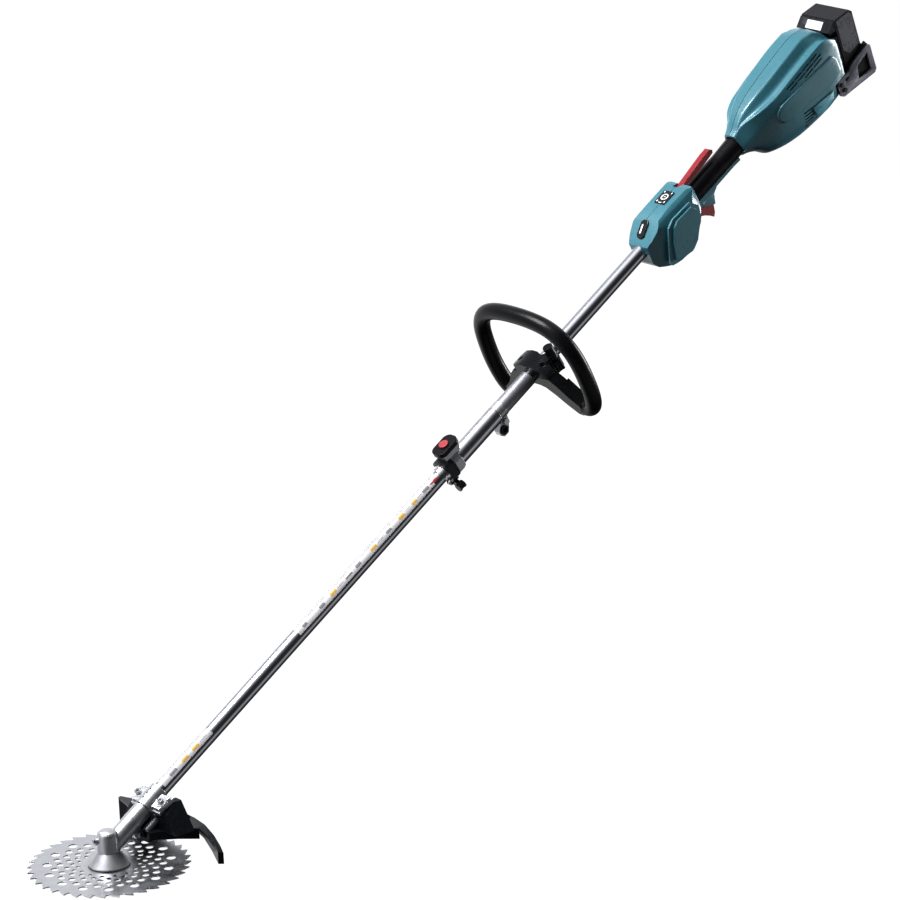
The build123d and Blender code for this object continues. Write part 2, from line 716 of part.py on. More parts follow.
def socket_bolts():
    """The pairs of bolts through the guard clamp and the handle clamp."""
    with BuildPart() as bolts:
        for s in (LEFT, RIGHT):
            add(socket_bolt(GUARD_BOLT_U, s * GUARD_BOLT_Y, -15.5, 22,
                            head=(6.25, 5.2, 5.0), socket=(8.6, 2.9)))
            add(socket_bolt(HANDLE_BOLT_U, s * HANDLE_BOLT_Y, -38, 51,
                            head=(9.1, 4.6, 4.4), socket=(11.5, 2.6)))
    return bolts.part


def handle_knob():
    """Five-lobed knob with its neck and stud."""
    with BuildPart() as knob:
        with BuildSketch(top(-13.5, KNOB_U, KNOB_Y)):
            Circle(9.0)
            with PolarLocations(8.3, 5):
                Circle(3.0)
        extrude(amount=20)
        add(rod(top(6, KNOB_U, KNOB_Y), 5.2, 5.6))
        add(rod(top(-5, KNOB_U, KNOB_Y), 3.0, 30))
    return knob.part


# ================================================================ control box
# Outer and inner forms, each as a side (u, v), a plan (u, y) and a cross (y, v) outline.
BOX_OUTER = (
    [(1363, -21), (1366, 13), (1372, 17), (1409, 37.5), (1440, 39), (1486, 38), (1498, 33),
     (1503, 18), (1498, -3), (1479, -19), (1466, -29), (1442, -57), (1392, -47), (1369, -33)],
    [(1363, -21), (1378, -29), (1400, -34), (1430, -37.5), (1474, -38), (1492, -31),
     (1503, -19), (1503, 19), (1492, 29), (1470, 33), (1410, 31), (1380, 26), (1363, 20)],
    [(-23.5, 39.5), (-30.5, 33), (-38, 13), (-38, -44), (-31, -57.5), (24, -57.5), (33, -46),
     (33, 13), (28.5, 33), (22.5, 39.5)])
BOX_INNER = (
    [(1367, -20), (1369.6, 11.5), (1374, 14.5), (1411, 34), (1440, 35.8), (1485, 34.8),
     (1495.4, 30.5), (1499.4, 17.6), (1494.8, -1.5), (1476.6, -16.8), (1463.2, -27.8),
     (1440.4, -53.8), (1393.6, -44), (1371.6, -31)],
    [(1367, -19), (1380, -26), (1401, -31), (1430, -34.4), (1473, -34.8), (1490, -28.4),
     (1499.8, -17.5), (1499.8, 17.5), (1490, 26.4), (1469, 29.8), (1411, 27.8), (1382, 23),
     (1367, 17.5)],
    [(-22, 36), (-28, 30.6), (-34.8, 12), (-34.8, -42.8), (-29.2, -54.2), (22.5, -54.2),
     (29.8, -44.8), (29.8, 12), (26, 30.6), (21, 36)])
COVER_RIM = [(1409, 22), (1424, 29), (1470, 27), (1483, 8), (1477, -13), (1462, -28),
             (1438, -47), (1431, -49), (1383, -38), (1380, -31), (1394, -4)]        # (u, v)
COVER_FACE = [(1418, 18), (1428, 23), (1465, 21), (1475, 6), (1470, -11), (1456, -25),
              (1434, -41), (1392, -33), (1404, -3)]                                 # (u, v)
DISPLAY_U, DISPLAY_LENGTH, DISPLAY_WIDTH = 1457, 30.0, 24.0
DISPLAY_GAP = 0.4
# plane of the power button, on the box's sloping front
BUTTON_X, BUTTON_Z = turned(29.0)
BUTTON_PLANE = Plane(origin=pipe_point(1391, 0, 27.5), x_dir=BUTTON_X, z_dir=BUTTON_Z)


def control_half(s):
    """One half of the hollow box, before anything particular to that side."""
    with BuildPart() as half:
        add(three_view(*BOX_OUTER, half_height=80, u_start=1340, length=200))
        cut(three_view(*BOX_INNER, half_height=80, u_start=1340, length=200))
        cut(rod(across(1350), SEAT, 200))
        # lever slot at the rear top, display window, stepped power button pocket
        cut(block(top(12), 40, 12.0, 60, 1505, 0))
        cut(block(top(36.4), DISPLAY_LENGTH + DISPLAY_GAP, DISPLAY_WIDTH + DISPLAY_GAP, 10,
                  DISPLAY_U, 0, 2))
        cut(block(BUTTON_PLANE.offset(-2.0), 33.2, 17.2, 12, corner=7.5))
        cut(block(BUTTON_PLANE.offset(-8.0), 22.2, 9.2, 12, corner=3))
        # remove the other half
        cut(block(side(), 400, 400, s * 100, 1440, 0))
    return half.part


def control_housing_left():
    """Left half, with the opening behind the side cover."""
    with BuildPart() as half:
        add(control_half(LEFT))
        cut(prism(side(-30), [(1420, 10), (1458, 8), (1456, -16), (1432, -32), (1407, -24)],
                  20))
    return half.part


def control_housing_right():
    return control_half(RIGHT)


def side_cover():
    """Two-step cover on the left of the box."""
    with BuildPart() as cover:
        add(prism(side(-38.2), COVER_RIM, 3.6))
        add(prism(side(-41.3), COVER_FACE, 5.2))
    return cover.part


def display_panel():
    return block(top(36.6), DISPLAY_LENGTH, DISPLAY_WIDTH, 3.4, DISPLAY_U, 0, 1.8)


def power_button():
    """Rounded button and its stem."""
    with BuildPart() as button:
        add(block(BUTTON_PLANE.offset(-0.6), 32.6, 16.6, 3.6, corner=7.2))
        add(block(BUTTON_PLANE.offset(-5.4), 21.9, 8.9, 5.4, corner=2.8))
    return button.part


def switch_unit():
    return block(side(22), 44, 14, 9, 1470, 24)


# ================================================================ grip, trigger and lever
TRIGGER_PIVOT = (1513.5, -23)           # (u, v)
LEVER_PIVOT = (1494.0, 24.0)            # (u, v)
PIVOT_R = 2.0
# side outlines, (u, v)
GRIP_FRAME = [(1504, 9), (1500.5, -3), (1502, -12), (1507, -26), (1528, -41), (1533, -42.5),
              (1540, -26), (1552, -19.5), (1600, -19), (1617.5, -20), (1617.5, 9)]
TRIGGER_BAY = [(1505.5, -17), (1535.5, -17), (1535.5, -50), (1490, -50), (1490, -25)]
TRIGGER = [(1510.2, -19.5), (1529, -20.5), (1531, -34), (1530.5, -46), (1526.5, -57),
           (1521, -63), (1514, -54), (1506, -46), (1499, -41), (1493, -38), (1499, -32),
           (1506.5, -26)]
LOCK_LEVER = [(1489.5, 20.5), (1499.5, 20.5), (1507, 25.5), (1540, 26.5), (1570, 29.5),
              (1579, 31), (1581, 35.5), (1576, 40.5), (1560, 40), (1530, 36.6),
              (1505, 33.5), (1490, 31.0)]


def grip_frame():
    """Frame under the pipe that holds the trigger."""
    with BuildPart() as frame:
        add(prism(side(), GRIP_FRAME, 11.5, both=True))
        cut(rod(across(1500), SEAT, 140))
        cut(prism(side(), TRIGGER_BAY, 8.4, both=True))
        cut_cross_hole(TRIGGER_PIVOT, PIVOT_R + FIT)
    return frame.part


def grip():
    """Round cover on the pipe, open below for the frame."""
    with BuildPart() as cover:
        add(rod(across(1504.5), 17.4, 113))
        cut(prism(side(), [(1490, 9.2), (1640, 9.2), (1640, -40), (1490, -40)], 11.7,
                  both=True))
        cut(rod(across(1500), SEAT, 140))
    return cover.part


def pivoted(outline, half_width, pivot):
    """Plate centred on y = 0 with a pivot hole across it."""
    with BuildPart() as plate:
        add(prism(side(), outline, half_width, both=True))
        cut_cross_hole(pivot, PIVOT_R + FIT)
    return plate.part


def trigger():
    return pivoted(TRIGGER, 8.0, TRIGGER_PIVOT)


def lock_off_lever():
    return pivoted(LOCK_LEVER, 5.6, LEVER_PIVOT)


def pivot_pins():
    """Pins of the trigger, the lock-off lever and the joint's clamp lever."""
    with BuildPart() as pins:
        add(rod(side(11.4, *TRIGGER_PIVOT), PIVOT_R, 22.8))
        add(rod(side(12, *LEVER_PIVOT), PIVOT_R, 24))
        add(rod(across(837.9), CLAMP_PIN_R, 18.0, *CLAMP_PIN))
    return pins.part


# ================================================================ battery frame of reference
BATT_TILT = 12.0                        # leans rearward from square to the pipe
BATT_TOP = (1895.5, 53.0)               # (u, v) of the battery's upper front edge
BATT_REAR, BATT_UP = turned(-BATT_TILT)     # through the battery, and along it upward


def batt_point(depth, y, length):
    """World point by depth, across and length from the battery's upper front edge."""
    corner = pipe_point(BATT_TOP[0], y, BATT_TOP[1])
    return tuple(c + r * depth + a * length for c, r, a in zip(corner, BATT_REAR, BATT_UP))


def batt_side():
    """Lengthwise battery plane: x is depth, y is length, facing -Y."""
    return Plane(origin=batt_point(0, 0, 0), x_dir=BATT_REAR, z_dir=(0, -1, 0))


def batt_plan(length):
    """Plane square to the battery's length: x is depth, y is across, facing up along it."""
    return Plane(origin=batt_point(0, 0, length), x_dir=BATT_REAR, z_dir=BATT_UP)


# ================================================================ motor housing
MOTOR_WALL = 3.2
FOOT_SCREWS = ((1848, -50), (1849, -62))    # (u, v)
FOOT_SCREW_R = 2.0
# Outer and inner forms, each as a side (u, v), a plan (u, y) and a cross (y, v) outline.
MOTOR_OUTER = (
    [(1618, -14), (1618, 19), (1626, 22.5), (1636, 28.5), (1650, 38), (1668, 47.5),
     (1684, 53.5), (1714, 59), (1758, 64), (1807, 66.5), (1835, 66.5), (1850, 63.5),
     (1868, 50), (1879.0, 34), (1876.9, 24), (1865.4, -30), (1859.4, -58), (1855.7, -75),
     (1812, -77), (1765, -73), (1722, -66), (1694, -59), (1668, -50), (1650, -35),
     (1636, -22), (1626, -16)],
    mirrored_y([(1618, -18), (1630, -20), (1650, -29), (1680, -42), (1705, -48.5),
                (1745, -51.5), (1850, -51.5), (1885, -46)]),
    mirrored_x([(-24, 73), (-38, 63), (-47, 49), (-51.5, 36), (-51.5, -40), (-44, -60),
                (-30, -78)]))
MOTOR_INNER = (
    [(1656, -35), (1656, 37), (1671, 45), (1686, 50.4), (1715, 55.6), (1758.5, 60.6),
     (1807, 63), (1834, 63), (1847.5, 60.4), (1864, 48.2), (1872, 34), (1862, -30),
     (1856, -57), (1852.5, -71.6), (1812, -73.5), (1766, -69.6), (1723, -62.6),
     (1695.5, -55.6), (1670, -47)],
    mirrored_y([(1656, -28.5), (1681, -38.6), (1706, -45), (1745.5, -48), (1850, -48),
                (1872, -44)]),
    mirrored_x([(-22.8, 69.6), (-35.6, 60.6), (-44, 47.4), (-48.2, 35.2), (-48.2, -39.4),
                (-41, -58), (-28.2, -74.6)]))
VENT_HEIGHT = 2.6
# long vent rows: (first u, last u, v, slots in the row)
VENT_ROWS = ((1741, 1829, 38, 4), (1744, 1834, 32.6, 4), (1784, 1832, 27.2, 2))


def cut_foot_screw_holes():
    for u, v in FOOT_SCREWS:
        cut(rod(side(70, u, v), FOOT_SCREW_R + 0.1, 140))


def motor_form(outlines, inset):
    """Solid form of the housing, with flats low at the rear for the foot brackets."""
    with BuildPart() as form:
        add(three_view(*outlines, half_height=90, u_start=1600, length=300))
        for s in (LEFT, RIGHT):
            cut(block(across(1832 - inset), 20, 70, 90, s * (48.4 - inset), -69.0 + inset))
    return form.part


def cut_vents(s):
    """Air slots through one cheek: three long rows above, five short ones below."""
    cheek = side(-40 if s == LEFT else 56)
    for first, last, v, count in VENT_ROWS:
        pitch = (last - first) / count
        for i in range(count):
            cut(block(cheek, pitch - 2.0, VENT_HEIGHT, 16, first + (i + 0.5) * pitch, v))
    for i in range(5):
        cut(block(cheek, 20, VENT_HEIGHT, 16, 1758 - i, -27 - i * 5.6))


def motor_half(s):
    """One half of the hollow motor housing."""
    with BuildPart() as half:
        add(motor_form(MOTOR_OUTER, 0))
        cut(motor_form(MOTOR_INNER, MOTOR_WALL))
        # pipe bore and the seat of the motor frame's sleeve
        cut(rod(across(1600), SEAT, 60))
        cut(rod(across(1641), 20.05, 28))
        # terminal opening in the rear wall
        cut(prism(batt_side(), [(-9, -30), (-9, -90), (-27, -90), (-27, -30)], 20.1,
                  both=True))
        cut_foot_screw_holes()
        # remove the other half
        cut(block(side(), 700, 400, s * 100, 1750, 0))
        cut_vents(s)
    return half.part


def motor_housing_left():
    return motor_half(LEFT)


def motor_housing_right():
    return motor_half(RIGHT)


# ================================================================ motor
def motor_frame():
    """Sleeve on the pipe end, its square flange and the two bearing plates."""
    sleeve_r = 19.9
    with BuildPart() as frame:
        add(rod(across(1641.5), sleeve_r, 13.5, bore=SEAT))
        with BuildSketch(across(1656.2)):
            Rectangle(52, 60)
            Circle(10.05, mode=Mode.SUBTRACT)
        extrude(amount=5)
        add(rod(across(1655), sleeve_r, 1.3, bore=15))
        for u in MOTOR_BEARINGS_U:
            with BuildSketch(across(u - 0.5)):
                RectangleRounded(66, 50, 8)
                Circle(AXLE_BEARING_R + FIT, mode=Mode.SUBTRACT)
            extrude(amount=AXLE_BEARING_T + 1)
    return frame.part


def motor_stator():
    """Ring with twelve inward poles."""
    poles = 12
    with BuildPart() as stator:
        with BuildSketch(across(1690)):
            Circle(31)
            Circle(27, mode=Mode.SUBTRACT)
            with PolarLocations(22, poles):
                Rectangle(11.5, 4.6)
            with PolarLocations(17.4, poles):
                Rectangle(1.6, 7.0)
        extrude(amount=34)
    return stator.part


def cooling_fan():
    """Hub, disc and nine slanted blades."""
    fan_u, blades = 1736, 9
    with BuildPart() as fan:
        add(rod(across(fan_u), 9.0, 9, bore=AXLE_R + FIT))
        add(rod(across(1743), 28.0, 2, bore=8.5))
        for k in range(blades):
            with BuildSketch(across(fan_u)):
                with PolarLocations(17.5, 1, start_angle=k * 360.0 / blades):
                    Rectangle(20.5, 1.4, rotation=18)
            extrude(amount=8)
    return fan.part


def motor_rotor():
    """Rotor and shaft with a socket for the drive shaft, and the fan."""
    with BuildPart() as rotor:
        add(rod(across(1691), 16.0, 32))
        add(rod(across(1664), AXLE_R, 108))
        add(rod(across(1650.5), 8.0, 14))
        cut(rod(across(1640), SHAFT_R + FIT, 20))
    with BuildPart() as rotor_and_fan:
        add(rotor.part)
        add(cooling_fan())
    return rotor_and_fan.part


def circuit_boards():
    """Block below the motor and the board in the control box."""
    with BuildPart() as boards:
        add(block(across(1780), 60, 22, 46, 0, -52))
        add(block(side(22), 54, 22, 4, 1424, -22))
    return boards.part


# ================================================================ battery
BATT_L, BATT_W, BATT_D = 113.0, 76.0, 45.0
BATT_WALL = 2.6
CELL_R, CELL_LENGTH, CELL_PITCH = 9.2, 66, 19.6
HUMP_ALONG = (0.766, 0.642)             # up the latch hump's slope, as (depth, length)
HUMP_OUT = (-0.642, 0.766)              # its outward normal
HUMP_START = (-18.2, -15.0)


def hump_point(along, out):
    """A point along the hump's sloping face and out from it, as (depth, length)."""
    return tuple(p + a * along + n * out
                 for p, a, n in zip(HUMP_START, HUMP_ALONG, HUMP_OUT))


def battery_shell():
    """Hollow box with bevelled rear corners."""
    outer = [(2, 0), (39, 0), (BATT_D, -6), (BATT_D, 4 - BATT_L), (BATT_D - 4, -BATT_L),
             (0, -BATT_L), (0, -3)]
    inner = [(3, -3), (38, -3), (BATT_D - BATT_WALL, -8), (BATT_D - BATT_WALL, 5 - BATT_L),
             (BATT_D - 5, 3 - BATT_L), (BATT_WALL, 3 - BATT_L), (BATT_WALL, -4)]
    with BuildPart() as shell:
        add(prism(batt_side(), outer, BATT_W / 2, both=True))
        cut(prism(batt_side(), inner, BATT_W / 2 - BATT_WALL, both=True))
    return shell.part


def battery_rails():
    """Block that carries the slide rails, and the latch hump at the upper end."""
    with BuildPart() as rails:
        add(prism(batt_side(), [(-0.1, -2.5), (-0.1, -100), (-9.8, -100), (-9.8, -22.0),
                                (-12.0, -20.2), (-18.2, -15), (-1.5, -1)], 31, both=True))
        add(prism(batt_side(), [(-0.1, -2.5), (-0.1, -19), (-13.0, -19), (-18.2, -15),
                                (-1.5, -1)], 37.5, both=True))
        # button pocket in the hump, then the channel between the rails
        cut(prism(batt_side(), [hump_point(2.2, 6), hump_point(18.3, 6),
                                hump_point(18.3, -6.0), hump_point(2.2, -3.3)],
                  18.6, both=True))
        cut(block(batt_plan(-100.1), 8, 26, 60, -8.5, 0))
    return rails.part


def battery_case():
    with BuildPart() as case:
        add(battery_shell())
        add(battery_rails())
    return case.part


def battery_button():
    return prism(batt_side(), [hump_point(2.5, 0.9), hump_point(18, 0.9),
                               hump_point(18, -3.4), hump_point(2.5, -1.1)], 18.2, both=True)


def battery_cells():
    """Ten cells lying across, five high and two deep."""
    with BuildPart() as cells:
        for i in range(5):
            for j in range(2):
                start = batt_point(12.6 + j * CELL_PITCH, CELL_LENGTH / 2,
                                   -15.0 - i * CELL_PITCH)
                add(rod(Plane(origin=start, x_dir=BATT_REAR, z_dir=(0, -1, 0)), CELL_R,
                        CELL_LENGTH))
    return cells.part


def battery_dock():
    """Plate on the rear wall with side lips for the battery, terminal block and contacts."""
    with BuildPart() as dock:
        add(prism(batt_side(), [(-10.0, -27.5), (-10.0, -107), (-12.0, -107),
                                (-12.0, -27.5)], 38, both=True))
        for s in (LEFT, RIGHT):
            add(block(batt_plan(-103), 9.6, 2.6, 74, -6.9, s * 36.2))
            add(block(batt_plan(-103), 4.4, 3.0, 74, -7.0, s * 33.6))
        cut(prism(batt_side(), [(-9.5, -31.5), (-9.5, -88), (-12.5, -88), (-12.5, -31.5)],
                  18.2, both=True))
        add(prism(batt_side(), [(-12.0, -30.4), (-12.0, -89.6), (-22, -89.6), (-22, -30.4)],
                  19.8, both=True))
        for y in (-9, 0, 9):
            add(block(batt_plan(-84), 4.8, 1.0, 24, -10.0, y))
    return dock.part


# ================================================================ round the battery foot
# side outlines, (u, v)
BRACKET = [(1885, -36), (1931, -31), (1937, -36), (1928, -82), (1922, -86), (1842, -71),
           (1836, -65), (1838, -46), (1846, -39), (1874, -41)]
BRACKET_WINDOW = [(1893, -47), (1924, -43), (1917, -74), (1886, -68)]
BUMPER_CHEEK = [(1882, -40), (1932, -24), (1936, -34), (1927, -84), (1921, -88), (1868, -79),
                (1870, -44)]
# floor and back wall of the bumper, (depth, length) in the battery's frame
BUMPER_FLOOR = [(-11.6, -118.4), (49.5, -118.4), (49.5, -72), (46, -70), (46, -114.5),
                (-11.6, -114.5)]


def side_brackets():
    """Plate on each side with a large window, a slot and two screw holes."""
    with BuildPart() as brackets:
        for y in (-41.2, 45.2):
            add(prism(side(y), BRACKET, 4.0))
        for s in (LEFT, RIGHT):
            cut(prism(side(s * 50), BRACKET_WINDOW, 14, both=True))
            cut(block(side(s * 50 + 14), 10, 4, 28, 1863, -49))
        cut_foot_screw_holes()
    return brackets.part


def rear_bumper():
    """Two cheeks inside the brackets, joined by a floor and a low back wall."""
    with BuildPart() as bumper:
        for y in (-38.4, 41.0):
            add(prism(side(y), BUMPER_CHEEK, 2.6))
        add(prism(batt_side(), BUMPER_FLOOR, 41, both=True))
    return bumper.part


def bracket_screws():
    """Two screws through each bracket into the housing."""
    length, head_height = 11.4, 2.2
    with BuildPart() as screws:
        for u, v in FOOT_SCREWS:
            add(rod(side(-34, u, v), FOOT_SCREW_R, length))
            add(rod(side(-45.3, u, v), 4.0, head_height))
            add(rod(side(34 + length, u, v), FOOT_SCREW_R, length))
            add(rod(side(45.3 + head_height, u, v), 4.0, head_height))
    return screws.part


# ================================================================ export
# Each piece is saved under the name of its function.
PIECES = (
    saw_blade, blade_washers, rest_cup, blade_nut, output_spindle, bevel_gear, bevel_pinion,
    bearings, bearing_box, gear_case, grease_plug, guard_clamp, guard_bracket, guard,
    lower_pipe, upper_pipe, lower_drive_shaft, upper_drive_shaft, shaft_bushes,
    joint_collar, joint_clamp, joint_body, joint_sleeve, lock_plate, release_button,
    clamp_lever, hanger, hanger_bush, cross_bolts, pipe_cover, loop_handle, handle_cap,
    handle_base, socket_bolts, handle_knob, control_housing_left, control_housing_right,
    side_cover, display_panel, power_button, grip_frame, grip, trigger, lock_off_lever,
    pivot_pins, switch_unit, motor_housing_left, motor_housing_right, motor_frame,
    motor_stator, motor_rotor, circuit_boards, battery_case, battery_button, battery_cells,
    battery_dock, side_brackets, rear_bumper, bracket_screws)

os.makedirs("parts", exist_ok=True)
for make in PIECES:
    piece = make()
    piece.label = make.__name__
    export_step(piece, f"parts/{piece.label}.step")
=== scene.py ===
"""A battery brush cutter, its straight pipe climbing at 31 degrees in the XZ plane.

The saw blade is at the low end near the origin; the motor and battery are at the high +X end.
The tool's left side is -Y, which is also the side nearest the camera.
Pieces are laid out in millimetres along the pipe, across it (+Y) and up from its axis;
place() turns those into metres in the frame.
"""
import json
import random
from contextlib import contextmanager
from math import atan2, cos, degrees, hypot, pi, radians, sin

import bmesh
import bpy
import numpy as np
from mathutils import Matrix, Vector

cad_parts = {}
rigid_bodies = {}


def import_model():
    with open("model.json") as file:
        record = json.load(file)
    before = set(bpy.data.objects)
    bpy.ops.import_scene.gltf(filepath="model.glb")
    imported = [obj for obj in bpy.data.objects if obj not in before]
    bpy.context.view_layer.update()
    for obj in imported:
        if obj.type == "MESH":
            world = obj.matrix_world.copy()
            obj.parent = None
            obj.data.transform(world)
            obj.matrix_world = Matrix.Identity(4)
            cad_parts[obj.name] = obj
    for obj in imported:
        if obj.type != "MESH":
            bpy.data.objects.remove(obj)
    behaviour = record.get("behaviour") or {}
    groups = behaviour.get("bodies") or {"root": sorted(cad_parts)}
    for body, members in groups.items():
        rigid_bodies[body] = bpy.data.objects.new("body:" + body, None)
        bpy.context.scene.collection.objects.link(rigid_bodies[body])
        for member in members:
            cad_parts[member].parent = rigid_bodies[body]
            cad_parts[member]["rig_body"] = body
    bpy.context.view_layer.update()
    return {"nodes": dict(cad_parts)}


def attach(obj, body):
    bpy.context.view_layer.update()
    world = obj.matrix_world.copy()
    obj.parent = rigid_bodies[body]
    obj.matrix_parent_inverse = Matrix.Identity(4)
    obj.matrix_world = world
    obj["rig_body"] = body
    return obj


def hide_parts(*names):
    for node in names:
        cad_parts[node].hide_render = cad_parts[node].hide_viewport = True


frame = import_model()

random.seed(11)
NODES = frame["nodes"]
BODY = {name: node["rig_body"] for name, node in NODES.items()}
PIPE_PITCH = 31  # degrees above the floor
SIDES = ((-1, "left"), (1, "right"))


def axes_at(origin, pitch):
    """A function placing (along, across, up) in mm from an origin, on axes pitched in degrees."""
    along_axis = Vector((cos(radians(pitch)), 0, sin(radians(pitch))))
    across_axis = Vector((0, 1, 0))
    up_axis = Vector((-sin(radians(pitch)), 0, cos(radians(pitch))))
    return lambda along, across, up: (origin + along_axis * (along / 1000)
                                      + across_axis * (across / 1000) + up_axis * (up / 1000))


place = axes_at(Vector((0, 0, 0.045)), PIPE_PITCH)


def side_place(sign):
    """Place (along, up, depth), with the depth measured outward on one side."""
    return lambda along, up, depth: place(along, sign * depth, up)


# ------------------------------------------------------------------ materials
def feed(node, inputs):
    """Set each input of a shader node: sockets are linked, other values are stored."""
    for socket, value in inputs.items():
        if isinstance(value, bpy.types.NodeSocket):
            node.id_data.links.new(value, node.inputs[socket])
        else:
            node.inputs[socket].default_value = value


def add_node(tree, kind, inputs, **properties):
    node = tree.nodes.new(kind)
    for name, value in properties.items():
        setattr(node, name, value)
    feed(node, inputs)
    return node


def map_range(tree, value, start, end, low=0.0, high=1.0):
    """Map start..end onto low..high."""
    return add_node(tree, "ShaderNodeMapRange", {
        "Value": value, "From Min": start, "From Max": end,
        "To Min": low, "To Max": high}).outputs[0]


def math_node(tree, operation, first, second):
    return add_node(tree, "ShaderNodeMath", {0: first, 1: second},
                    operation=operation).outputs[0]


def add_edge_wear(tree, colour, breakup, edge, wear, amount):
    """Blend the wear colour in where a rounded normal leaves the true one, broken by noise."""
    geometry = tree.nodes.new("ShaderNodeNewGeometry")
    wide_bevel = add_node(tree, "ShaderNodeBevel", {"Radius": edge * 1.6}, samples=2)
    agreement = add_node(tree, "ShaderNodeVectorMath", {
        0: wide_bevel.outputs[0], 1: geometry.outputs["Normal"]}, operation="DOT_PRODUCT")
    at_edge = map_range(tree, agreement.outputs["Value"], start=0.99, end=0.88)
    broken = map_range(tree, breakup, start=0.42, end=0.60)
    mask = math_node(tree, "MULTIPLY", at_edge, broken)
    return add_node(tree, "ShaderNodeMixRGB", {
        "Fac": math_node(tree, "MULTIPLY", mask, amount),
        "Color1": colour, "Color2": (*wear, 1)}).outputs["Color"]


def make_mat(name, colour, rough, metal=0.0, grain=900.0, bump=0.15, var=0.08, rvar=0.08,
             wear=None, wear_amount=0.0, stretch=(1, 1, 1), edge=0.0006, coat=0.0, spec=0.5,
             blotch=18.0, voronoi=False):
    """Procedural surface: fine grain bump, blotchy colour and roughness, softened edges.

    grain and blotch are texture scales, var and rvar the swing of colour and roughness,
    stretch scales the texture in the pipe's axes, edge is the shaded rounding in metres.
    """
    material = bpy.data.materials.new(name)
    material.use_nodes = True
    tree = material.node_tree
    coords = tree.nodes.new("ShaderNodeTexCoord")
    turned = add_node(tree, "ShaderNodeMapping", {
        "Vector": coords.outputs["Object"], "Rotation": (0, radians(PIPE_PITCH), 0)})
    vector = add_node(tree, "ShaderNodeMapping", {
        "Vector": turned.outputs[0], "Scale": stretch}).outputs[0]

    def noise(scale, detail, **more):
        return add_node(tree, "ShaderNodeTexNoise", {
            "Vector": vector, "Scale": scale, "Detail": detail, **more}).outputs["Fac"]

    if voronoi:
        height = add_node(tree, "ShaderNodeTexVoronoi", {
            "Vector": vector, "Scale": grain}).outputs["Distance"]
    else:
        height = noise(scale=grain, detail=3, Roughness=0.6)
    broad = noise(scale=blotch, detail=5)
    patchy = noise(scale=blotch * 9, detail=4)
    mottle = math_node(tree, "MULTIPLY", math_node(tree, "ADD", broad, patchy), 0.5)
    ramp = add_node(tree, "ShaderNodeValToRGB", {"Fac": mottle})
    for element, position, gain in zip(ramp.color_ramp.elements, (0.3, 0.7), (1 - var, 1 + var)):
        element.position = position
        element.color = (*[channel * gain for channel in colour], 1)
    surface = ramp.outputs["Color"]
    bump_inputs = {"Strength": bump, "Distance": 0.0003, "Height": height}
    if edge > 0:
        bevel = add_node(tree, "ShaderNodeBevel", {"Radius": edge}, samples=2)
        bump_inputs["Normal"] = bevel.outputs[0]
    if wear:
        surface = add_edge_wear(tree, surface, patchy, edge, wear, wear_amount)
    roughness = map_range(tree, mottle, start=0.3, end=0.7, low=rough - rvar, high=rough + rvar)
    feed(tree.nodes["Principled BSDF"], {
        "Base Color": surface, "Roughness": roughness, "Metallic": metal,
        "Specular IOR Level": spec, "Coat Weight": coat, "Coat Roughness": 0.12,
        "Normal": add_node(tree, "ShaderNodeBump", bump_inputs).outputs[0]})
    return material


def blade_material():
    """Satin saw steel with turned rings that lighten and darken it."""
    material = make_mat("saw_steel", (0.50, 0.51, 0.54), rough=0.31, metal=1.0, grain=900,
                        bump=0.14, var=0.09, rvar=0.1, wear=(0.75, 0.75, 0.77),
                        wear_amount=0.5, edge=0.0004, blotch=45)
    tree = material.node_tree
    base_colour = tree.nodes["Principled BSDF"].inputs["Base Color"]
    coords = tree.nodes.new("ShaderNodeTexCoord")
    split = add_node(tree, "ShaderNodeSeparateXYZ", {0: coords.outputs["Object"]})
    flat = add_node(tree, "ShaderNodeCombineXYZ", {
        "X": split.outputs["X"], "Y": split.outputs["Y"]})
    radius = add_node(tree, "ShaderNodeVectorMath", {0: flat.outputs[0]}, operation="LENGTH")
    rings = add_node(tree, "ShaderNodeTexNoise", {"Scale": 900, "Detail": 4},
                     noise_dimensions="1D")
    feed(rings, {"W": radius.outputs["Value"]})
    gain = map_range(tree, rings.outputs["Fac"], start=0.3, end=0.7, low=0.80, high=1.12)
    scaled = add_node(tree, "ShaderNodeVectorMath", {}, operation="SCALE")
    feed(scaled, {0: base_colour.links[0].from_socket, "Scale": gain})
    tree.links.new(scaled.outputs[0], base_colour)
    return material


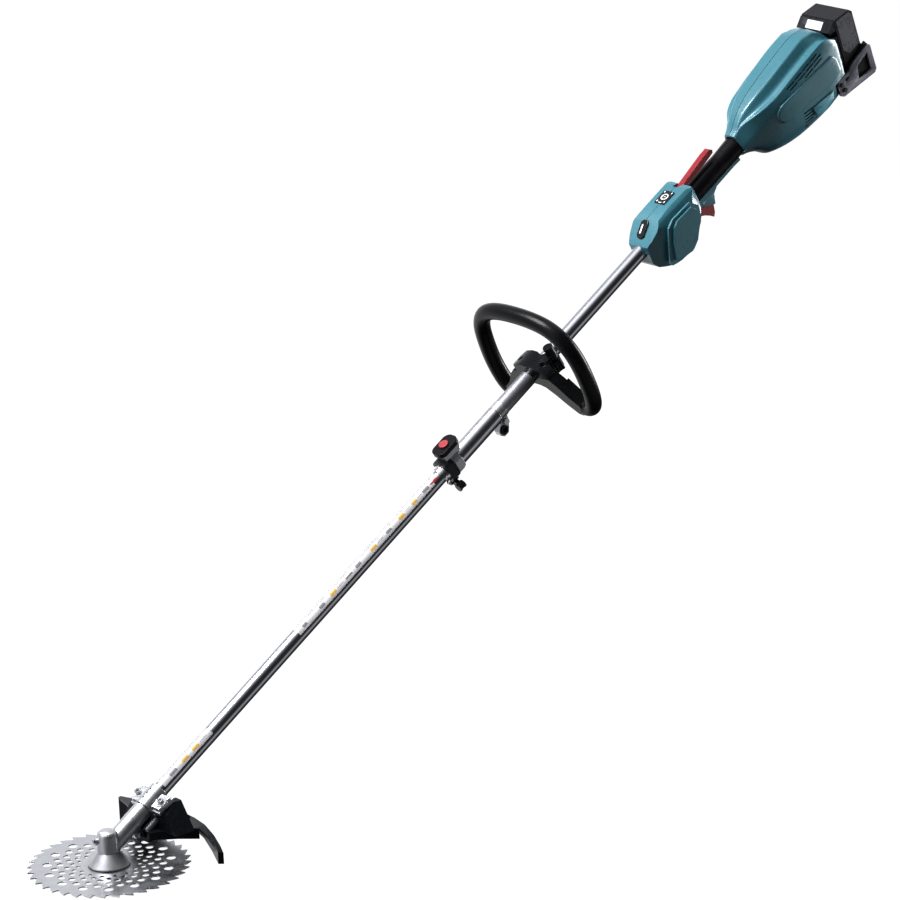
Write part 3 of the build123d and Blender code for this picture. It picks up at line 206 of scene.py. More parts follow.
MATERIALS = dict(
    teal=make_mat("teal_moulded", (0.062, 0.215, 0.270), rough=0.30, grain=1500, bump=0.05,
                  var=0.05, rvar=0.05, spec=0.75, edge=0),
    # darker copy of the teal: painted shade for low faces
    teal_shaded=make_mat("teal_painted_shade", (0.030, 0.125, 0.165), rough=0.40, grain=1500,
                       bump=0.10, var=0.06, edge=0),
    # lighter copy of the teal: painted highlight for lit top faces, used on the cheek panel
    teal_lit=make_mat("teal_painted_highlight", (0.13, 0.42, 0.52), rough=0.38, grain=1500, bump=0.10,
                      var=0.04, edge=0),
    cast=make_mat("cast_alloy", (0.47, 0.48, 0.50), rough=0.36, metal=0.9, grain=700, bump=0.35,
                  var=0.10, rvar=0.1, wear=(0.8, 0.8, 0.82), wear_amount=0.5, blotch=40),
    pipe=make_mat("anodised_pipe", (0.60, 0.61, 0.65), rough=0.17, metal=1.0, grain=500,
                  bump=0.05, var=0.05, rvar=0.05, stretch=(0.03, 1, 1), blotch=60),
    sleeve=make_mat("machined_sleeve", (0.66, 0.67, 0.70), rough=0.20, metal=1.0, grain=500,
                    bump=0.08, var=0.05, rvar=0.05, stretch=(1, 0.15, 0.15), blotch=90),
    steel=make_mat("turned_steel", (0.56, 0.57, 0.60), rough=0.24, metal=1.0, grain=800,
                   bump=0.12, stretch=(1, 0.2, 0.2), blotch=60),
    polished=make_mat("polished_ring", (0.80, 0.80, 0.82), rough=0.08, metal=1.0, grain=800,
                      bump=0.04, var=0.04, rvar=0.03),
    greycoat=make_mat("grey_coated_tube", (0.30, 0.30, 0.335), rough=0.42, metal=0.75,
                      grain=1300, bump=0.2, var=0.07, rvar=0.06, wear=(0.6, 0.6, 0.62),
                      wear_amount=0.5),
    plate=make_mat("painted_plate", (0.14, 0.14, 0.17), rough=0.34, metal=0.45, grain=1100,
                   bump=0.22, var=0.09, wear=(0.75, 0.75, 0.78), wear_amount=0.8, edge=0.0007),
    dark=make_mat("dark_casting", (0.020, 0.022, 0.027), rough=0.34, metal=0.4, bump=0.3,
                  var=0.15, wear=(0.4, 0.4, 0.42), wear_amount=0.5),
    black=make_mat("black_moulded", (0.0075, 0.0085, 0.011), rough=0.27, grain=1300, bump=0.16,
                   var=0.2, rvar=0.07, spec=0.20, edge=0),
    rubber=make_mat("soft_rubber", (0.0055, 0.0058, 0.0075), rough=0.30, grain=1800, bump=0.14,
                    var=0.25, rvar=0.06, spec=0.20, edge=0),
    ribbed=make_mat("grip_rubber", (0.005, 0.005, 0.007), rough=0.30, grain=420, bump=0.35,
                    var=0.2, rvar=0.07, voronoi=True, spec=0.20, edge=0),
    gloss=make_mat("black_gloss", (0.006, 0.006, 0.008), rough=0.14, grain=600, bump=0.03,
                   var=0.15, rvar=0.04, coat=0.5, edge=0),
    red=make_mat("red_moulded", (0.30, 0.022, 0.032), rough=0.32, grain=1400, bump=0.14,
                 var=0.07, edge=0),
    pink=make_mat("red_faded", (0.40, 0.050, 0.065), rough=0.36, grain=1400, bump=0.12,
                  var=0.06, edge=0),
    battery=make_mat("battery_shell", (0.016, 0.017, 0.021), rough=0.26, grain=1400, bump=0.12,
                     var=0.15, spec=0.22, edge=0),
    label_grey=make_mat("side_label", (0.10, 0.103, 0.125), rough=0.28, grain=1500, bump=0.05,
                        var=0.06, blotch=30, edge=0),
    light=make_mat("light_moulded", (0.80, 0.82, 0.85), rough=0.30, grain=1400, bump=0.08,
                   var=0.03, edge=0),
    paper=make_mat("printed_white", (0.62, 0.62, 0.64), rough=0.35, bump=0.05, var=0.04,
                   blotch=50, edge=0),
    grey_print=make_mat("printed_grey", (0.22, 0.22, 0.24), rough=0.4, bump=0.03, var=0.1,
                        edge=0),
    amber=make_mat("printed_amber", (0.62, 0.36, 0.06), rough=0.38, bump=0.03, edge=0),
    redprint=make_mat("printed_red", (0.55, 0.02, 0.03), rough=0.35, bump=0.03, edge=0),
    copper=make_mat("winding", (0.50, 0.22, 0.09), rough=0.3, metal=0.9, grain=260, bump=0.5,
                    var=0.2, stretch=(6, 1, 1)),
    board=make_mat("potted_board", (0.03, 0.16, 0.06), rough=0.3, grain=300, bump=0.3, var=0.2,
                   coat=0.4),
    cell=make_mat("cell_wrap", (0.10, 0.25, 0.20), rough=0.3, grain=700, bump=0.05, var=0.1),
    # near-black for the seam strips and for the painted shade behind the housing slots
    inside=make_mat("inside_black", (0.004, 0.004, 0.005), rough=0.7, bump=0.2, var=0.3,
                    edge=0),
    blade=blade_material(),
)

# Which CAD pieces take each material; every other piece is steel.
PAINT_GROUPS = dict(
    blade="saw_blade",
    gloss="rest_cup display_panel power_button",
    cast="bearing_box gear_case guard_clamp joint_body hanger motor_frame",
    greycoat="guard_bracket pipe_cover",
    black="guard shaft_bushes lock_plate hanger_bush handle_cap handle_base handle_knob "
          "switch_unit battery_dock rear_bumper",
    pipe="lower_pipe upper_pipe",
    polished="joint_collar",
    dark="joint_clamp clamp_lever bracket_screws",
    sleeve="joint_sleeve",
    pink="release_button trigger",
    red="lock_off_lever",
    rubber="loop_handle",
    ribbed="grip",
    teal="control_housing_left control_housing_right side_cover grip_frame "
         "motor_housing_left motor_housing_right",
    copper="motor_stator",
    board="circuit_boards",
    battery="battery_case",
    light="battery_button",
    cell="battery_cells",
    plate="side_brackets",
)
PAINT = {node: key for key, nodes in PAINT_GROUPS.items() for node in nodes.split()}


def paint(piece, key):
    piece.data.materials.clear()
    piece.data.materials.append(MATERIALS[key])


for name, node in NODES.items():
    paint(node, PAINT.get(name, "steel"))


# ------------------------------------------------------------------ mesh helpers
@contextmanager
def editing(source, target=None):
    """Edit a mesh through bmesh, writing to the target or back to the source."""
    bm = bmesh.new()
    bm.from_mesh(source)
    yield bm
    bm.to_mesh(target or source)
    bm.free()


def recalc_normals(bm):
    bmesh.ops.recalc_face_normals(bm, faces=bm.faces)


def shade_smooth(bm, angle, open_edges=False):
    """Smooth faces, with edges above the angle sharp; open_edges says if those are smooth."""
    for face in bm.faces:
        face.smooth = True
    for edge in bm.edges:
        if len(edge.link_faces) == 2:
            edge.smooth = edge.calc_face_angle(0) <= radians(angle)
        else:
            edge.smooth = open_edges


def add_object(name, data):
    added = bpy.data.objects.new(name, data)
    bpy.context.scene.collection.objects.link(added)
    return added


def add_piece(name, mesh, node, key, smooth=35.0, body=None):
    """Put a mesh in the scene, riding a CAD node's body or the one given."""
    piece = add_object(name, mesh)
    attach(piece, body or BODY[node])
    paint(piece, key)
    if smooth is not None:
        with editing(mesh) as bm:
            recalc_normals(bm)
            shade_smooth(bm, smooth)
    return piece


def mesh_of(name, verts, faces):
    mesh = bpy.data.meshes.new(name)
    mesh.from_pydata([tuple(vert) for vert in verts], [], faces)
    mesh.update()
    return mesh


def remake(node, width):
    """Copy of a CAD node with clean faces and real rounded edges, standing for the node."""
    mesh = bpy.data.meshes.new(node + "_skin")
    with editing(NODES[node].data, mesh) as bm:
        bmesh.ops.remove_doubles(bm, verts=bm.verts, dist=3e-6)
        bmesh.ops.dissolve_limit(bm, angle_limit=radians(0.8), verts=bm.verts, edges=bm.edges,
                                 use_dissolve_boundaries=False)
        recalc_normals(bm)
        shade_smooth(bm, 28, open_edges=True)
        for face in bm.faces:
            face.material_index = 0
    piece = add_object(node + "_skin", mesh)
    paint(piece, PAINT[node])
    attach(piece, BODY[node])
    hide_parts(node)
    if width > 0:
        bevel = piece.modifiers.new("edges", "BEVEL")
        bevel.width = width
        bevel.segments = 3
        bevel.limit_method = "ANGLE"
        bevel.angle_limit = radians(28)
        bevel.harden_normals = True
        bevel.use_clamp_overlap = True
        bevel.miter_outer = "MITER_ARC"


def rounded(points, radii, steps=6, closed=False, fill=3):
    """2-D polyline with softened corners; the same counts always give as many points."""
    points = [np.array(point, float) for point in points]
    count = len(points)
    bends = []  # (start, corner, end) of each softened corner
    for i, corner in enumerate(points):
        if not closed and i in (0, count - 1):
            bends.append((corner, corner, corner))
            continue
        arms = [other - corner for other in (points[i - 1], points[(i + 1) % count])]
        lengths = [np.linalg.norm(arm) for arm in arms]
        reach = min(radii[i], lengths[0] * 0.48, lengths[1] * 0.48)
        start, end = [corner + arm / max(length, 1e-9) * reach
                      for arm, length in zip(arms, lengths)]
        bends.append((start, corner, end))
    line = []
    for i, (start, corner, end) in enumerate(bends):
        if not closed and i in (0, count - 1):
            line.append(corner)
        else:
            for j in range(steps + 1):
                part = j / steps
                line.append(start * (1 - part) ** 2 + corner * 2 * part * (1 - part)
                            + end * part * part)
        following = bends[(i + 1) % count][0]
        if closed or i < count - 1:
            for j in range(1, fill + 1):
                part = j / (fill + 1)
                line.append(end * (1 - part) + following * part)
    return line


def lofted(name, rings, close_ring=False, caps=False, loop=False):
    """Quads between rings of points; loop also joins the last ring to the first."""
    size, count = len(rings[0]), len(rings)
    verts = [point for ring in rings for point in ring]
    faces = []
    for i in range(count if loop else count - 1):
        this, following = i * size, (i + 1) % count * size
        for j in range(size if close_ring else size - 1):
            k = (j + 1) % size
            faces.append((this + j, this + k, following + k, following + j))
    if caps:
        faces.append(tuple(range(size)))
        faces.append(tuple((count - 1) * size + j for j in range(size - 1, -1, -1)))
    return mesh_of(name, verts, faces)


def apply_modifiers(piece):
    graph = bpy.context.evaluated_depsgraph_get()
    mesh = bpy.data.meshes.new_from_object(piece.evaluated_get(graph),
                                           preserve_all_data_layers=True, depsgraph=graph)
    piece.modifiers.clear()
    old = piece.data
    piece.data = mesh
    bpy.data.meshes.remove(old)


def cut(piece, meshes):
    """Boolean difference with closed cutter meshes, joined into one."""
    bm = bmesh.new()
    for mesh in meshes:
        bm.from_mesh(mesh)
    recalc_normals(bm)
    joined = bpy.data.meshes.new("cutter")
    bm.to_mesh(joined)
    bm.free()
    cutter = add_object("cutter", joined)
    joined.materials.append(MATERIALS["inside"])
    boolean = piece.modifiers.new("cut", "BOOLEAN")
    boolean.operation = "DIFFERENCE"
    boolean.solver = "EXACT"
    boolean.object = cutter
    bpy.context.view_layer.update()
    apply_modifiers(piece)
    bpy.data.objects.remove(cutter)


def slab(place_point, outline, start, end):
    """Closed prism: an outline placed by place_point(first, second, depth) at two depths."""
    count = len(outline)
    verts = [place_point(*point, depth) for depth in (start, end) for point in outline]
    faces = [tuple(range(count - 1, -1, -1)), tuple(range(count, 2 * count))]
    for i in range(count):
        j = (i + 1) % count
        faces.append((i, j, count + j, count + i))
    return mesh_of("slab", verts, faces)


def oval(x, y, width, height, radius, steps=5, turn=0.0):
    """Rounded rectangle centred on (x, y), turned in degrees."""
    radius = min(radius, width / 2 - 1e-6, height / 2 - 1e-6)
    cosine, sine = cos(radians(turn)), sin(radians(turn))
    points = []
    for side, level, first in ((1, 1, 0), (-1, 1, 90), (-1, -1, 180), (1, -1, 270)):
        for j in range(steps + 1):
            angle = radians(first + 90 * j / steps)
            right = side * (width / 2 - radius) + radius * cos(angle)
            top = level * (height / 2 - radius) + radius * sin(angle)
            points.append((x + right * cosine - top * sine, y + right * sine + top * cosine))
    return points


def clamp(x):
    return min(max(x, 0), 1)


def ease(x):
    """Smooth step from 0 to 1."""
    x = clamp(x)
    return x * x * (3 - 2 * x)


# ------------------------------------------------------------------ motor housing
# Columns of the cross-section, one entry per station along the pipe, in mm.
# OUT is the distance from the middle plane, UP the height from the pipe's axis.
STATIONS = [1618, 1626, 1636, 1650, 1665, 1680, 1697, 1715, 1735, 1760, 1793, 1824, 1845, 1862, 1874]
TOP_UP = [20, 24, 28.5, 38, 46.5, 52.5, 57, 60, 62.5, 65.5, 68.5, 70, 66, 57, 41]
INNER_RIDGE_OUT = [9, 9.5, 10, 11, 14, 18, 21, 23, 24.5, 25.5, 26, 25, 24, 21, 18]
INNER_RIDGE_UP = [19.5, 23.5, 28, 37.5, 46, 52, 56, 58.5, 61, 64, 67, 68.5, 63.5, 55, 40]
CHANNEL_OUT = [11, 11.5, 11.5, 14.5, 21, 26, 29.5, 32, 33.5, 34.5, 35, 34.5, 33.5, 32, 30]
CHANNEL_UP = [17.5, 22, 27, 33, 36.5, 39, 40.5, 42, 44, 46.5, 49, 49.5, 45, 36, 27]
OUTER_RIDGE_OUT = [13, 13, 13, 19, 30, 37, 42, 44.5, 46, 46.5, 47, 47.5, 47.5, 46.5, 45]
OUTER_RIDGE_UP = [15, 20, 26.5, 34, 38, 39.5, 40.5, 41, 43, 45.5, 48, 50, 50.5, 44, 32]
WIDEST_OUT = [19.0, 20.5, 24.0, 31.0, 37.5, 43, 47.5, 50, 51.4, 51.8, 51.8, 51.8, 51.3, 50, 48.5]
WIDEST_UP = [0, 0, 2, 6, 10, 15, 20, 24, 27, 29, 31, 33, 33, 30, 20]
LOW_RIDGE_OUT = [15, 18, 22, 28, 34, 39.5, 43, 46, 48.5, 49.5, 49.5, 49.5, 49, 48, 47]
LOW_RIDGE_UP = [-6, -7.5, -10, -22, -34, -40, -43, -45.5, -47.5, -49, -50, -50, -48, -46, -44]
BOTTOM_OUT = [8, 9, 11, 15, 20, 23, 26, 28, 29.5, 30, 30, 30, 30, 30, 29]
BOTTOM_UP = [-18, -19, -22, -30, -47, -54, -60, -65, -69, -72.8, -76, -77.3, -76.5, -75.5, -73]

SHELL_FRONT = 1627
SHELL_REAR = STATIONS[-1]
# (scale, shift along) of the extra sections that round over each end
FRONT_ROUNDING = ((0.80, 0.6), (0.92, 0.0), (0.975, 0.2))
REAR_ROUNDING = ((0.99, 1.6), (0.965, 2.6), (0.93, 2.9), (0.60, 2.9), (0.25, 2.9))
SHELL_WALL = 0.0026  # metres
SEAM_HALF_GAP = 0.00045  # metres
# upper slot rows: along and up of the first end, then of the last, and the slot count
SLOT_ROWS = [(1740, 37, 1827, 42, 4), (1744, 31.6, 1834, 36.2, 4), (1781, 27.2, 1832, 29.6, 2)]
BRACKET_FLAT = [(1831, -36), (1900, -36), (1900, -110), (1831, -110)]
# dark sheets of painted shade behind the slots: depth and (along, up) outline
SLOT_SHADE_SHEETS = [(43.2, [(1736, 27), (1776, 22), (1838, 24), (1838, 43), (1800, 44), (1736, 40)]),
           (45.6, [(1743, -22), (1774, -28), (1774, -54), (1743, -52)])]


def station_value(column, along):
    """Monotone cubic through a column of the section table."""
    steps = np.diff(np.asarray(STATIONS, float))
    slopes = np.diff(np.asarray(column, float)) / steps
    tangents = np.zeros(len(column))
    for i in range(1, len(column) - 1):
        if slopes[i - 1] * slopes[i] > 0:
            before, after = 2 * steps[i] + steps[i - 1], steps[i] + 2 * steps[i - 1]
            tangents[i] = (before + after) / (before / slopes[i - 1] + after / slopes[i])
    tangents[0], tangents[-1] = slopes[0], slopes[-1]
    i = int(min(max(np.searchsorted(STATIONS, along) - 1, 0), len(steps) - 1))
    x = clamp((along - STATIONS[i]) / steps[i])
    return float((2 * x**3 - 3 * x**2 + 1) * column[i]
                 + (x**3 - 2 * x**2 + x) * steps[i] * tangents[i]
                 + (-2 * x**3 + 3 * x**2) * column[i + 1]
                 + (x**3 - x**2) * steps[i] * tangents[i + 1])


def sheared(along, up):
    """Toward the rear, the low part of a section shifts forward with the battery's slope."""
    return along + min(up - 30, 0) * 0.2138 * ease((along - 1775) / (SHELL_REAR - 1775))


def housing_section(along, sign, scale=1.0, shift=0.0):
    """Half section from the top middle round to the bottom middle."""
    def at(column):
        return station_value(column, along)

    points = [(0, at(TOP_UP)),
              (at(INNER_RIDGE_OUT), at(INNER_RIDGE_UP)),
              (at(CHANNEL_OUT), at(CHANNEL_UP)),
              (at(OUTER_RIDGE_OUT), at(OUTER_RIDGE_UP)),
              (at(WIDEST_OUT), at(WIDEST_UP)),
              (at(WIDEST_OUT), (at(WIDEST_UP) + at(LOW_RIDGE_UP)) / 2 - 6),
              (at(LOW_RIDGE_OUT), at(LOW_RIDGE_UP)),
              (at(BOTTOM_OUT), at(BOTTOM_UP)),
              (0, at(BOTTOM_UP) - 0.6)]
    size = min(1.0, (at(WIDEST_OUT) - 14) / 34)
    radii = [0, 2.6 + 0.8 * size, 8 * size + 2, 2.2 + 0.6 * size, 12 * size + 2,
             18 * size + 2, 12 * size + 3, 12 * size + 3, 0]
    return [place(sheared(along, up) + shift, sign * out * scale, up * scale)
            for out, up in rounded(points, radii)]


def housing_cutters(side):
    """Slots in the cheek, and the flat that clears the foot bracket."""
    cutters = []
    for along0, up0, along1, up1, count in SLOT_ROWS:
        turn = degrees(atan2(up1 - up0, along1 - along0))
        pitch = hypot(along1 - along0, up1 - up0) / count
        for i in range(count):
            part = (i + 0.5) / count
            slot = oval(along0 + (along1 - along0) * part, up0 + (up1 - up0) * part,
                        width=pitch - 2.2, height=2.7, radius=0.9, steps=3, turn=turn)
            cutters.append(slab(side, slot, 38, 60))
    for i in range(5):
        slot = oval(1758 - i * 1.2, -26.5 - i * 5.8, width=22, height=2.4, radius=0.8,
                    steps=3, turn=-13)
        cutters.append(slab(side, slot, 36, 60))
    cutters.append(slab(side, BRACKET_FLAT, 38.6, 70))
    return cutters


def build_housing(sign, tag):
    name, node = "motor_shell_" + tag, "motor_housing_" + tag
    side = side_place(sign)
    rings = [housing_section(SHELL_FRONT, sign, *end) for end in FRONT_ROUNDING]
    rings.append(housing_section(SHELL_FRONT + 0.6, sign))
    rings += [housing_section(along, sign) for along in
              (*np.linspace(SHELL_FRONT, 1700, 30)[1:], *np.linspace(1704, SHELL_REAR, 40))]
    rings += [housing_section(SHELL_REAR, sign, *end) for end in REAR_ROUNDING]
    shell = add_piece(name, lofted(name, rings), node, "teal", smooth=42)
    # turn the faces away from the middle plane
    with editing(shell.data) as bm:
        recalc_normals(bm)
        outermost = max(bm.faces, key=lambda face: abs(face.calc_center_median().y))
        if outermost.normal.y * sign < 0:
            bmesh.ops.reverse_faces(bm, faces=bm.faces)
    for vert in shell.data.vertices:
        if abs(vert.co.y) < 1e-6:
            vert.co.y = sign * SEAM_HALF_GAP
    wall = shell.modifiers.new("wall", "SOLIDIFY")
    wall.thickness = SHELL_WALL
    wall.offset = -1
    wall.use_even_offset = False
    apply_modifiers(shell)
    with editing(shell.data) as bm:
        recalc_normals(bm)
        if bm.calc_volume(signed=True) < 0:
            bmesh.ops.reverse_faces(bm, faces=bm.faces)
    cut(shell, housing_cutters(side))
    with editing(shell.data) as bm:
        shade_smooth(bm, 38)
    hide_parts(node)
    # near-black sheets behind the slots: painted shade for the dark inside of the housing
    for i, (depth, outline) in enumerate(SLOT_SHADE_SHEETS):
        add_piece("%s_slot_shade_%d" % (name, i), slab(side, outline, depth, depth + 0.5), node,
                  "inside", smooth=30)


for sign, tag in SIDES:
    build_housing(sign, tag)

# ------------------------------------------------------------------ cheek pods and panels
# (along, up) outlines, the point each shrinks toward, and (scale, depth) of each ring
POD_OUTLINE = [(1697, 6), (1700, 17), (1712, 24), (1735, 25), (1850, 17), (1858, 5),
               (1856, -20), (1832, -25), (1720, -12), (1703, -6)]
POD_RADII = [5, 6, 7, 8, 4, 3, 3, 6, 9, 6]
POD_CENTRE = (1782, 2)
POD_RINGS = ((1.0, -4.0), (1.0, 0.9), (0.99, 1.7), (0.975, 2.2), (0.95, 2.4), (0.8, 2.4),
             (0.6, 2.4), (0.4, 2.4), (0.2, 2.4), (0.02, 2.4))
PANEL_OUTLINE = [(1768, -29), (1822, -38), (1817, -51), (1784, -55), (1770, -46)]
PANEL_CENTRE = (1794, -43)
PANEL_RINGS = ((1.0, 44.5), (1.0, 52.0), (0.985, 52.8), (0.95, 53.1), (0.03, 53.1))


def build_pod(sign, tag):
    """Raised pod following the cheek, with a blunt rounded front end."""
    side = side_place(sign)
    outline = rounded(POD_OUTLINE, POD_RADII, steps=5, closed=True)
    middle, level = POD_CENTRE
    rings = []
    for scale, rise in POD_RINGS:
        # the rim rings shrink faster in height than in length
        up_scale = scale if scale < 0.9 else 1 - (1 - scale) * 2.2
        ring = []
        for along, up in outline:
            along = middle + (along - middle) * scale
            ring.append(side(along, level + (up - level) * up_scale,
                             station_value(WIDEST_OUT, along) + rise))
        rings.append(ring)
    mesh = lofted("pod_" + tag, rings, close_ring=True, caps=True)
    add_piece("cheek_pod_" + tag, mesh, "motor_housing_" + tag, "teal", smooth=38)


def build_panel(sign, tag):
    """Panel low on the cheek, leaning inward below up = -30, in the lighter teal copy that is
    painted highlight.
    """
    side = side_place(sign)
    outline = rounded(PANEL_OUTLINE, [2] * 5, steps=3, closed=True, fill=1)
    middle, level = PANEL_CENTRE
    rings = [[side(middle + (along - middle) * scale, level + (up - level) * scale,
                   depth - max(0, -30 - up) * 0.07) for along, up in outline]
             for scale, depth in PANEL_RINGS]
    mesh = lofted("panel_" + tag, rings, close_ring=True, caps=True)
    add_piece("cheek_panel_" + tag, mesh, "motor_housing_" + tag, "teal_lit", smooth=38)


for sign, tag in SIDES:
    build_pod(sign, tag)
    build_panel(sign, tag)

# ------------------------------------------------------------------ CAD pieces remade
# bevel width in metres; 0 adds no bevel
EDGE_WIDTHS = dict(
    control_housing_left=0.0022, control_housing_right=0.0022, side_cover=0.0011, guard=0.0012,
    handle_base=0.0010, handle_cap=0.0014, handle_knob=0.0010, side_brackets=0.0007,
    rear_bumper=0.0008, battery_case=0.0022, grip_frame=0.0012, trigger=0.0016,
    lock_off_lever=0.0018, lock_plate=0.0010, joint_body=0.0008, joint_clamp=0.0009,
    clamp_lever=0.0009, hanger=0.0008, guard_clamp=0.0007, guard_bracket=0.0009,
    power_button=0.0008, battery_button=0.0006, release_button=0.0008, loop_handle=0.0)
for node, width in EDGE_WIDTHS.items():
    remake(node, width)

# ------------------------------------------------------------------ grip sleeve
GRIP_START, GRIP_END = 1504.7, 1627.6
GRIP_RADIUS, GRIP_BORE = 17.3, 12.9
GRIP_SWELL, GRIP_FLARE = 0.9, 1.6
GRIP_SIDES = 64


def grip_ring(along, radius_at):
    angles = [2 * pi * j / GRIP_SIDES for j in range(GRIP_SIDES)]
    return [place(along, radius_at(angle) * sin(angle), radius_at(angle) * cos(angle))
            for angle in angles]


def build_grip():
    """Sleeve swelling in the palm and flared toward the motor, less so underneath."""
    rings = []
    for along in np.linspace(GRIP_START, GRIP_END, 52):
        flare = GRIP_FLARE * ease((along - 1580) / 46)
        swell = GRIP_SWELL * sin(pi * clamp((along - 1512) / 75))

        def radius_at(angle):
            radius = (GRIP_RADIUS + swell * (0.6 + 0.4 * cos(angle))
                      + flare * (0.75 + 0.25 * cos(angle)))
            if cos(angle) < -0.3:
                radius -= flare * 0.7 * (-cos(angle) - 0.3)
            return radius

        rings.append(grip_ring(along, radius_at))
    bore_start, bore_end = [grip_ring(along, lambda angle: GRIP_BORE)
                            for along in (GRIP_START, GRIP_END)]
    mesh = lofted("grip_sleeve", [bore_start] + rings + [bore_end, bore_start], close_ring=True)
    sleeve = add_piece("grip_sleeve", mesh, "grip", "ribbed", smooth=45)
    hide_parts("grip")


build_grip()

# ------------------------------------------------------------------ printed films on the pipe
# Angles are in degrees from the top of the pipe toward the near side (-Y).
PRINT_INNER, PRINT_OUTER = 12.705, 12.79
MARK_INNER = PRINT_OUTER - 0.02
# start along, length, first and last angle, material
BLOCKS = [
    (478, 10, 20, 46, "grey_print"), (520, 12, 22, 48, "grey_print"), (548, 14, 20, 46, "amber"),
    (586, 16, 30, 44, "grey_print"), (612, 12, 20, 46, "grey_print"), (650, 14, 20, 46, "amber"),
    (690, 12, 22, 46, "grey_print"), (722, 14, 20, 46, "amber"), (756, 12, 22, 46, "amber"),
    (784, 14, 22, 46, "grey_print"), (180, 14, 18, 46, "amber"), (205, 14, 18, 46, "amber"),
    (150, 16, 18, 46, "grey_print")]
# start and end along, first angle
RULES = [
    (498, 540, -2), (566, 606, -2), (630, 680, -2), (700, 745, -2), (498, 540, 8), (566, 600, 8),
    (630, 676, 8), (700, 738, 8), (565, 582, 24), (565, 580, 34), (668, 686, 24), (668, 682, 34),
    (738, 752, 26), (770, 781, 30), (222, 240, 22), (222, 238, 32), (140, 170, 2), (185, 230, 2)]
RULE_ANGLE = 4.0
# (along, angle) outline
ARROW = [(803, 33), (812, 33), (812, 27), (823, 37), (812, 47), (812, 41), (803, 41)]


def on_pipe(along, radius, angle):
    return place(along, -radius * sin(radians(angle)), radius * cos(radians(angle)))


def add_patch(name, start, end, angle0, angle1, key, inner=PRINT_INNER, outer=PRINT_OUTER,
              steps=24):
    """Thin film wrapped on the pipe between two angles."""
    angles = [angle0 + (angle1 - angle0) * j / steps for j in range(steps + 1)]
    rings = [[on_pipe(along, outer, angle) for angle in angles]
             + [on_pipe(along, inner, angle) for angle in reversed(angles)]
             for along in (start, end)]
    mesh = lofted(name, rings, close_ring=True, caps=True)
    add_piece(name, mesh, "lower_pipe", key, body="frame")


def add_arrow():
    """Arrow outline wrapped on the pipe."""
    count = len(ARROW)
    verts = [on_pipe(along, radius, angle) for radius in (PRINT_OUTER + 0.35, PRINT_INNER)
             for along, angle in ARROW]
    faces = [tuple(range(count)), tuple(range(2 * count - 1, count - 1, -1))]
    faces += [(i, count + i, count + (i + 1) % count, (i + 1) % count) for i in range(count)]
    add_piece("join_arrow", mesh_of("join_arrow", verts, faces), "lower_pipe", "redprint",
              smooth=None, body="frame")


add_patch("label_low", 131, 248, -10, 62, "paper")
add_patch("label_high", 465, 809, -12, 64, "paper")
for i, (start, length, angle0, angle1, key) in enumerate(BLOCKS):
    add_patch("label_block_%d" % i, start, start + length, angle0, angle1, key,
              inner=MARK_INNER, outer=PRINT_OUTER + 0.05, steps=10)
for i, (start, end, angle) in enumerate(RULES, start=len(BLOCKS)):
    add_patch("label_rule_%d" % i, start, end, angle, angle + RULE_ANGLE, "grey_print",
              inner=MARK_INNER, outer=PRINT_OUTER + 0.04, steps=3)
add_arrow()
add_patch("join_note", 811, 823, -8, 20, "paper", steps=8)

# ------------------------------------------------------------------ display symbols
DISPLAY_CENTRE = 1458
RING_SIDES = 40
# (radius, up) of the ring's cross-section
RING_PROFILE = ((7.2, 40.0), (7.2, 40.35), (4.6, 40.35), (4.6, 40.0))
# along, across, length, width
DISPLAY_MARKS = [(DISPLAY_CENTRE, 0, 2.0, 4.5), (1447, -8.2, 4, 3), (1447, 8.2, 4, 3),
                 (1468.5, -8.2, 3.5, 2.5), (1468.5, 8.2, 3.5, 2.5), (1444.6, 0, 1.8, 7)]

rings = [[place(DISPLAY_CENTRE + radius * cos(angle), radius * sin(angle), up)
          for radius, up in RING_PROFILE]
         for angle in (2 * pi * j / RING_SIDES for j in range(RING_SIDES))]
add_piece("display_ring", lofted("display_ring", rings, close_ring=True, loop=True),
          "display_panel", "light", smooth=30, body="frame")
for i, mark in enumerate(DISPLAY_MARKS):
    mesh = slab(place, oval(*mark, radius=0.8, steps=3), 39.9, 40.35)
    add_piece("display_mark_%d" % i, mesh, "display_panel", "light", smooth=30, body="frame")

# ------------------------------------------------------------------ control box seam
# (along, up) runs over the top of the box, before and after the display
SEAM_RUNS = [[(1398, 31.4), (1409, 37.5), (1425, 38.25), (1442, 39.0)],
             [(1474, 38.3), (1486, 38.0)]]
# (across, rise) of the strip's corners
SEAM_PROFILE = ((-0.35, -0.3), (-0.35, 0.12), (0.35, 0.12), (0.35, -0.3))
for i, run in enumerate(SEAM_RUNS):
    rings = [[place(along, across, up + rise) for across, rise in SEAM_PROFILE]
             for along, up in run]
    add_piece("box_seam_%d" % i, lofted("box_seam", rings, close_ring=True, caps=True),
              "control_housing_left", "inside", smooth=30, body="frame")

# ------------------------------------------------------------------ power button bar
button_place = axes_at(place(1391, 0, 27.5), PIPE_PITCH + 29)
add_piece("power_bar", slab(button_place, oval(0, 1.5, 17, 3.6, radius=1.7), 2.8, 3.35),
          "power_button", "light", smooth=30)

# ------------------------------------------------------------------ battery side labels
battery_place = axes_at(place(1895.5, 0, 53), PIPE_PITCH - 12)
# (along, up) in the battery's tilted axes
BATTERY_LABEL = [(4.5, -3.2), (37, -3.2), (42.5, -8.5), (42.5, -66), (16, -72), (4.5, -60)]
outline = rounded(BATTERY_LABEL, [2.5] * 6, steps=4, closed=True, fill=0)
for sign, tag in ((-1, "near"), (1, "far")):
    mesh = slab(lambda along, up, depth: battery_place(along, depth, up), outline,
                sign * 38.0, sign * 38.5)
    add_piece("battery_label_" + tag, mesh, "battery_case", "label_grey", smooth=30)


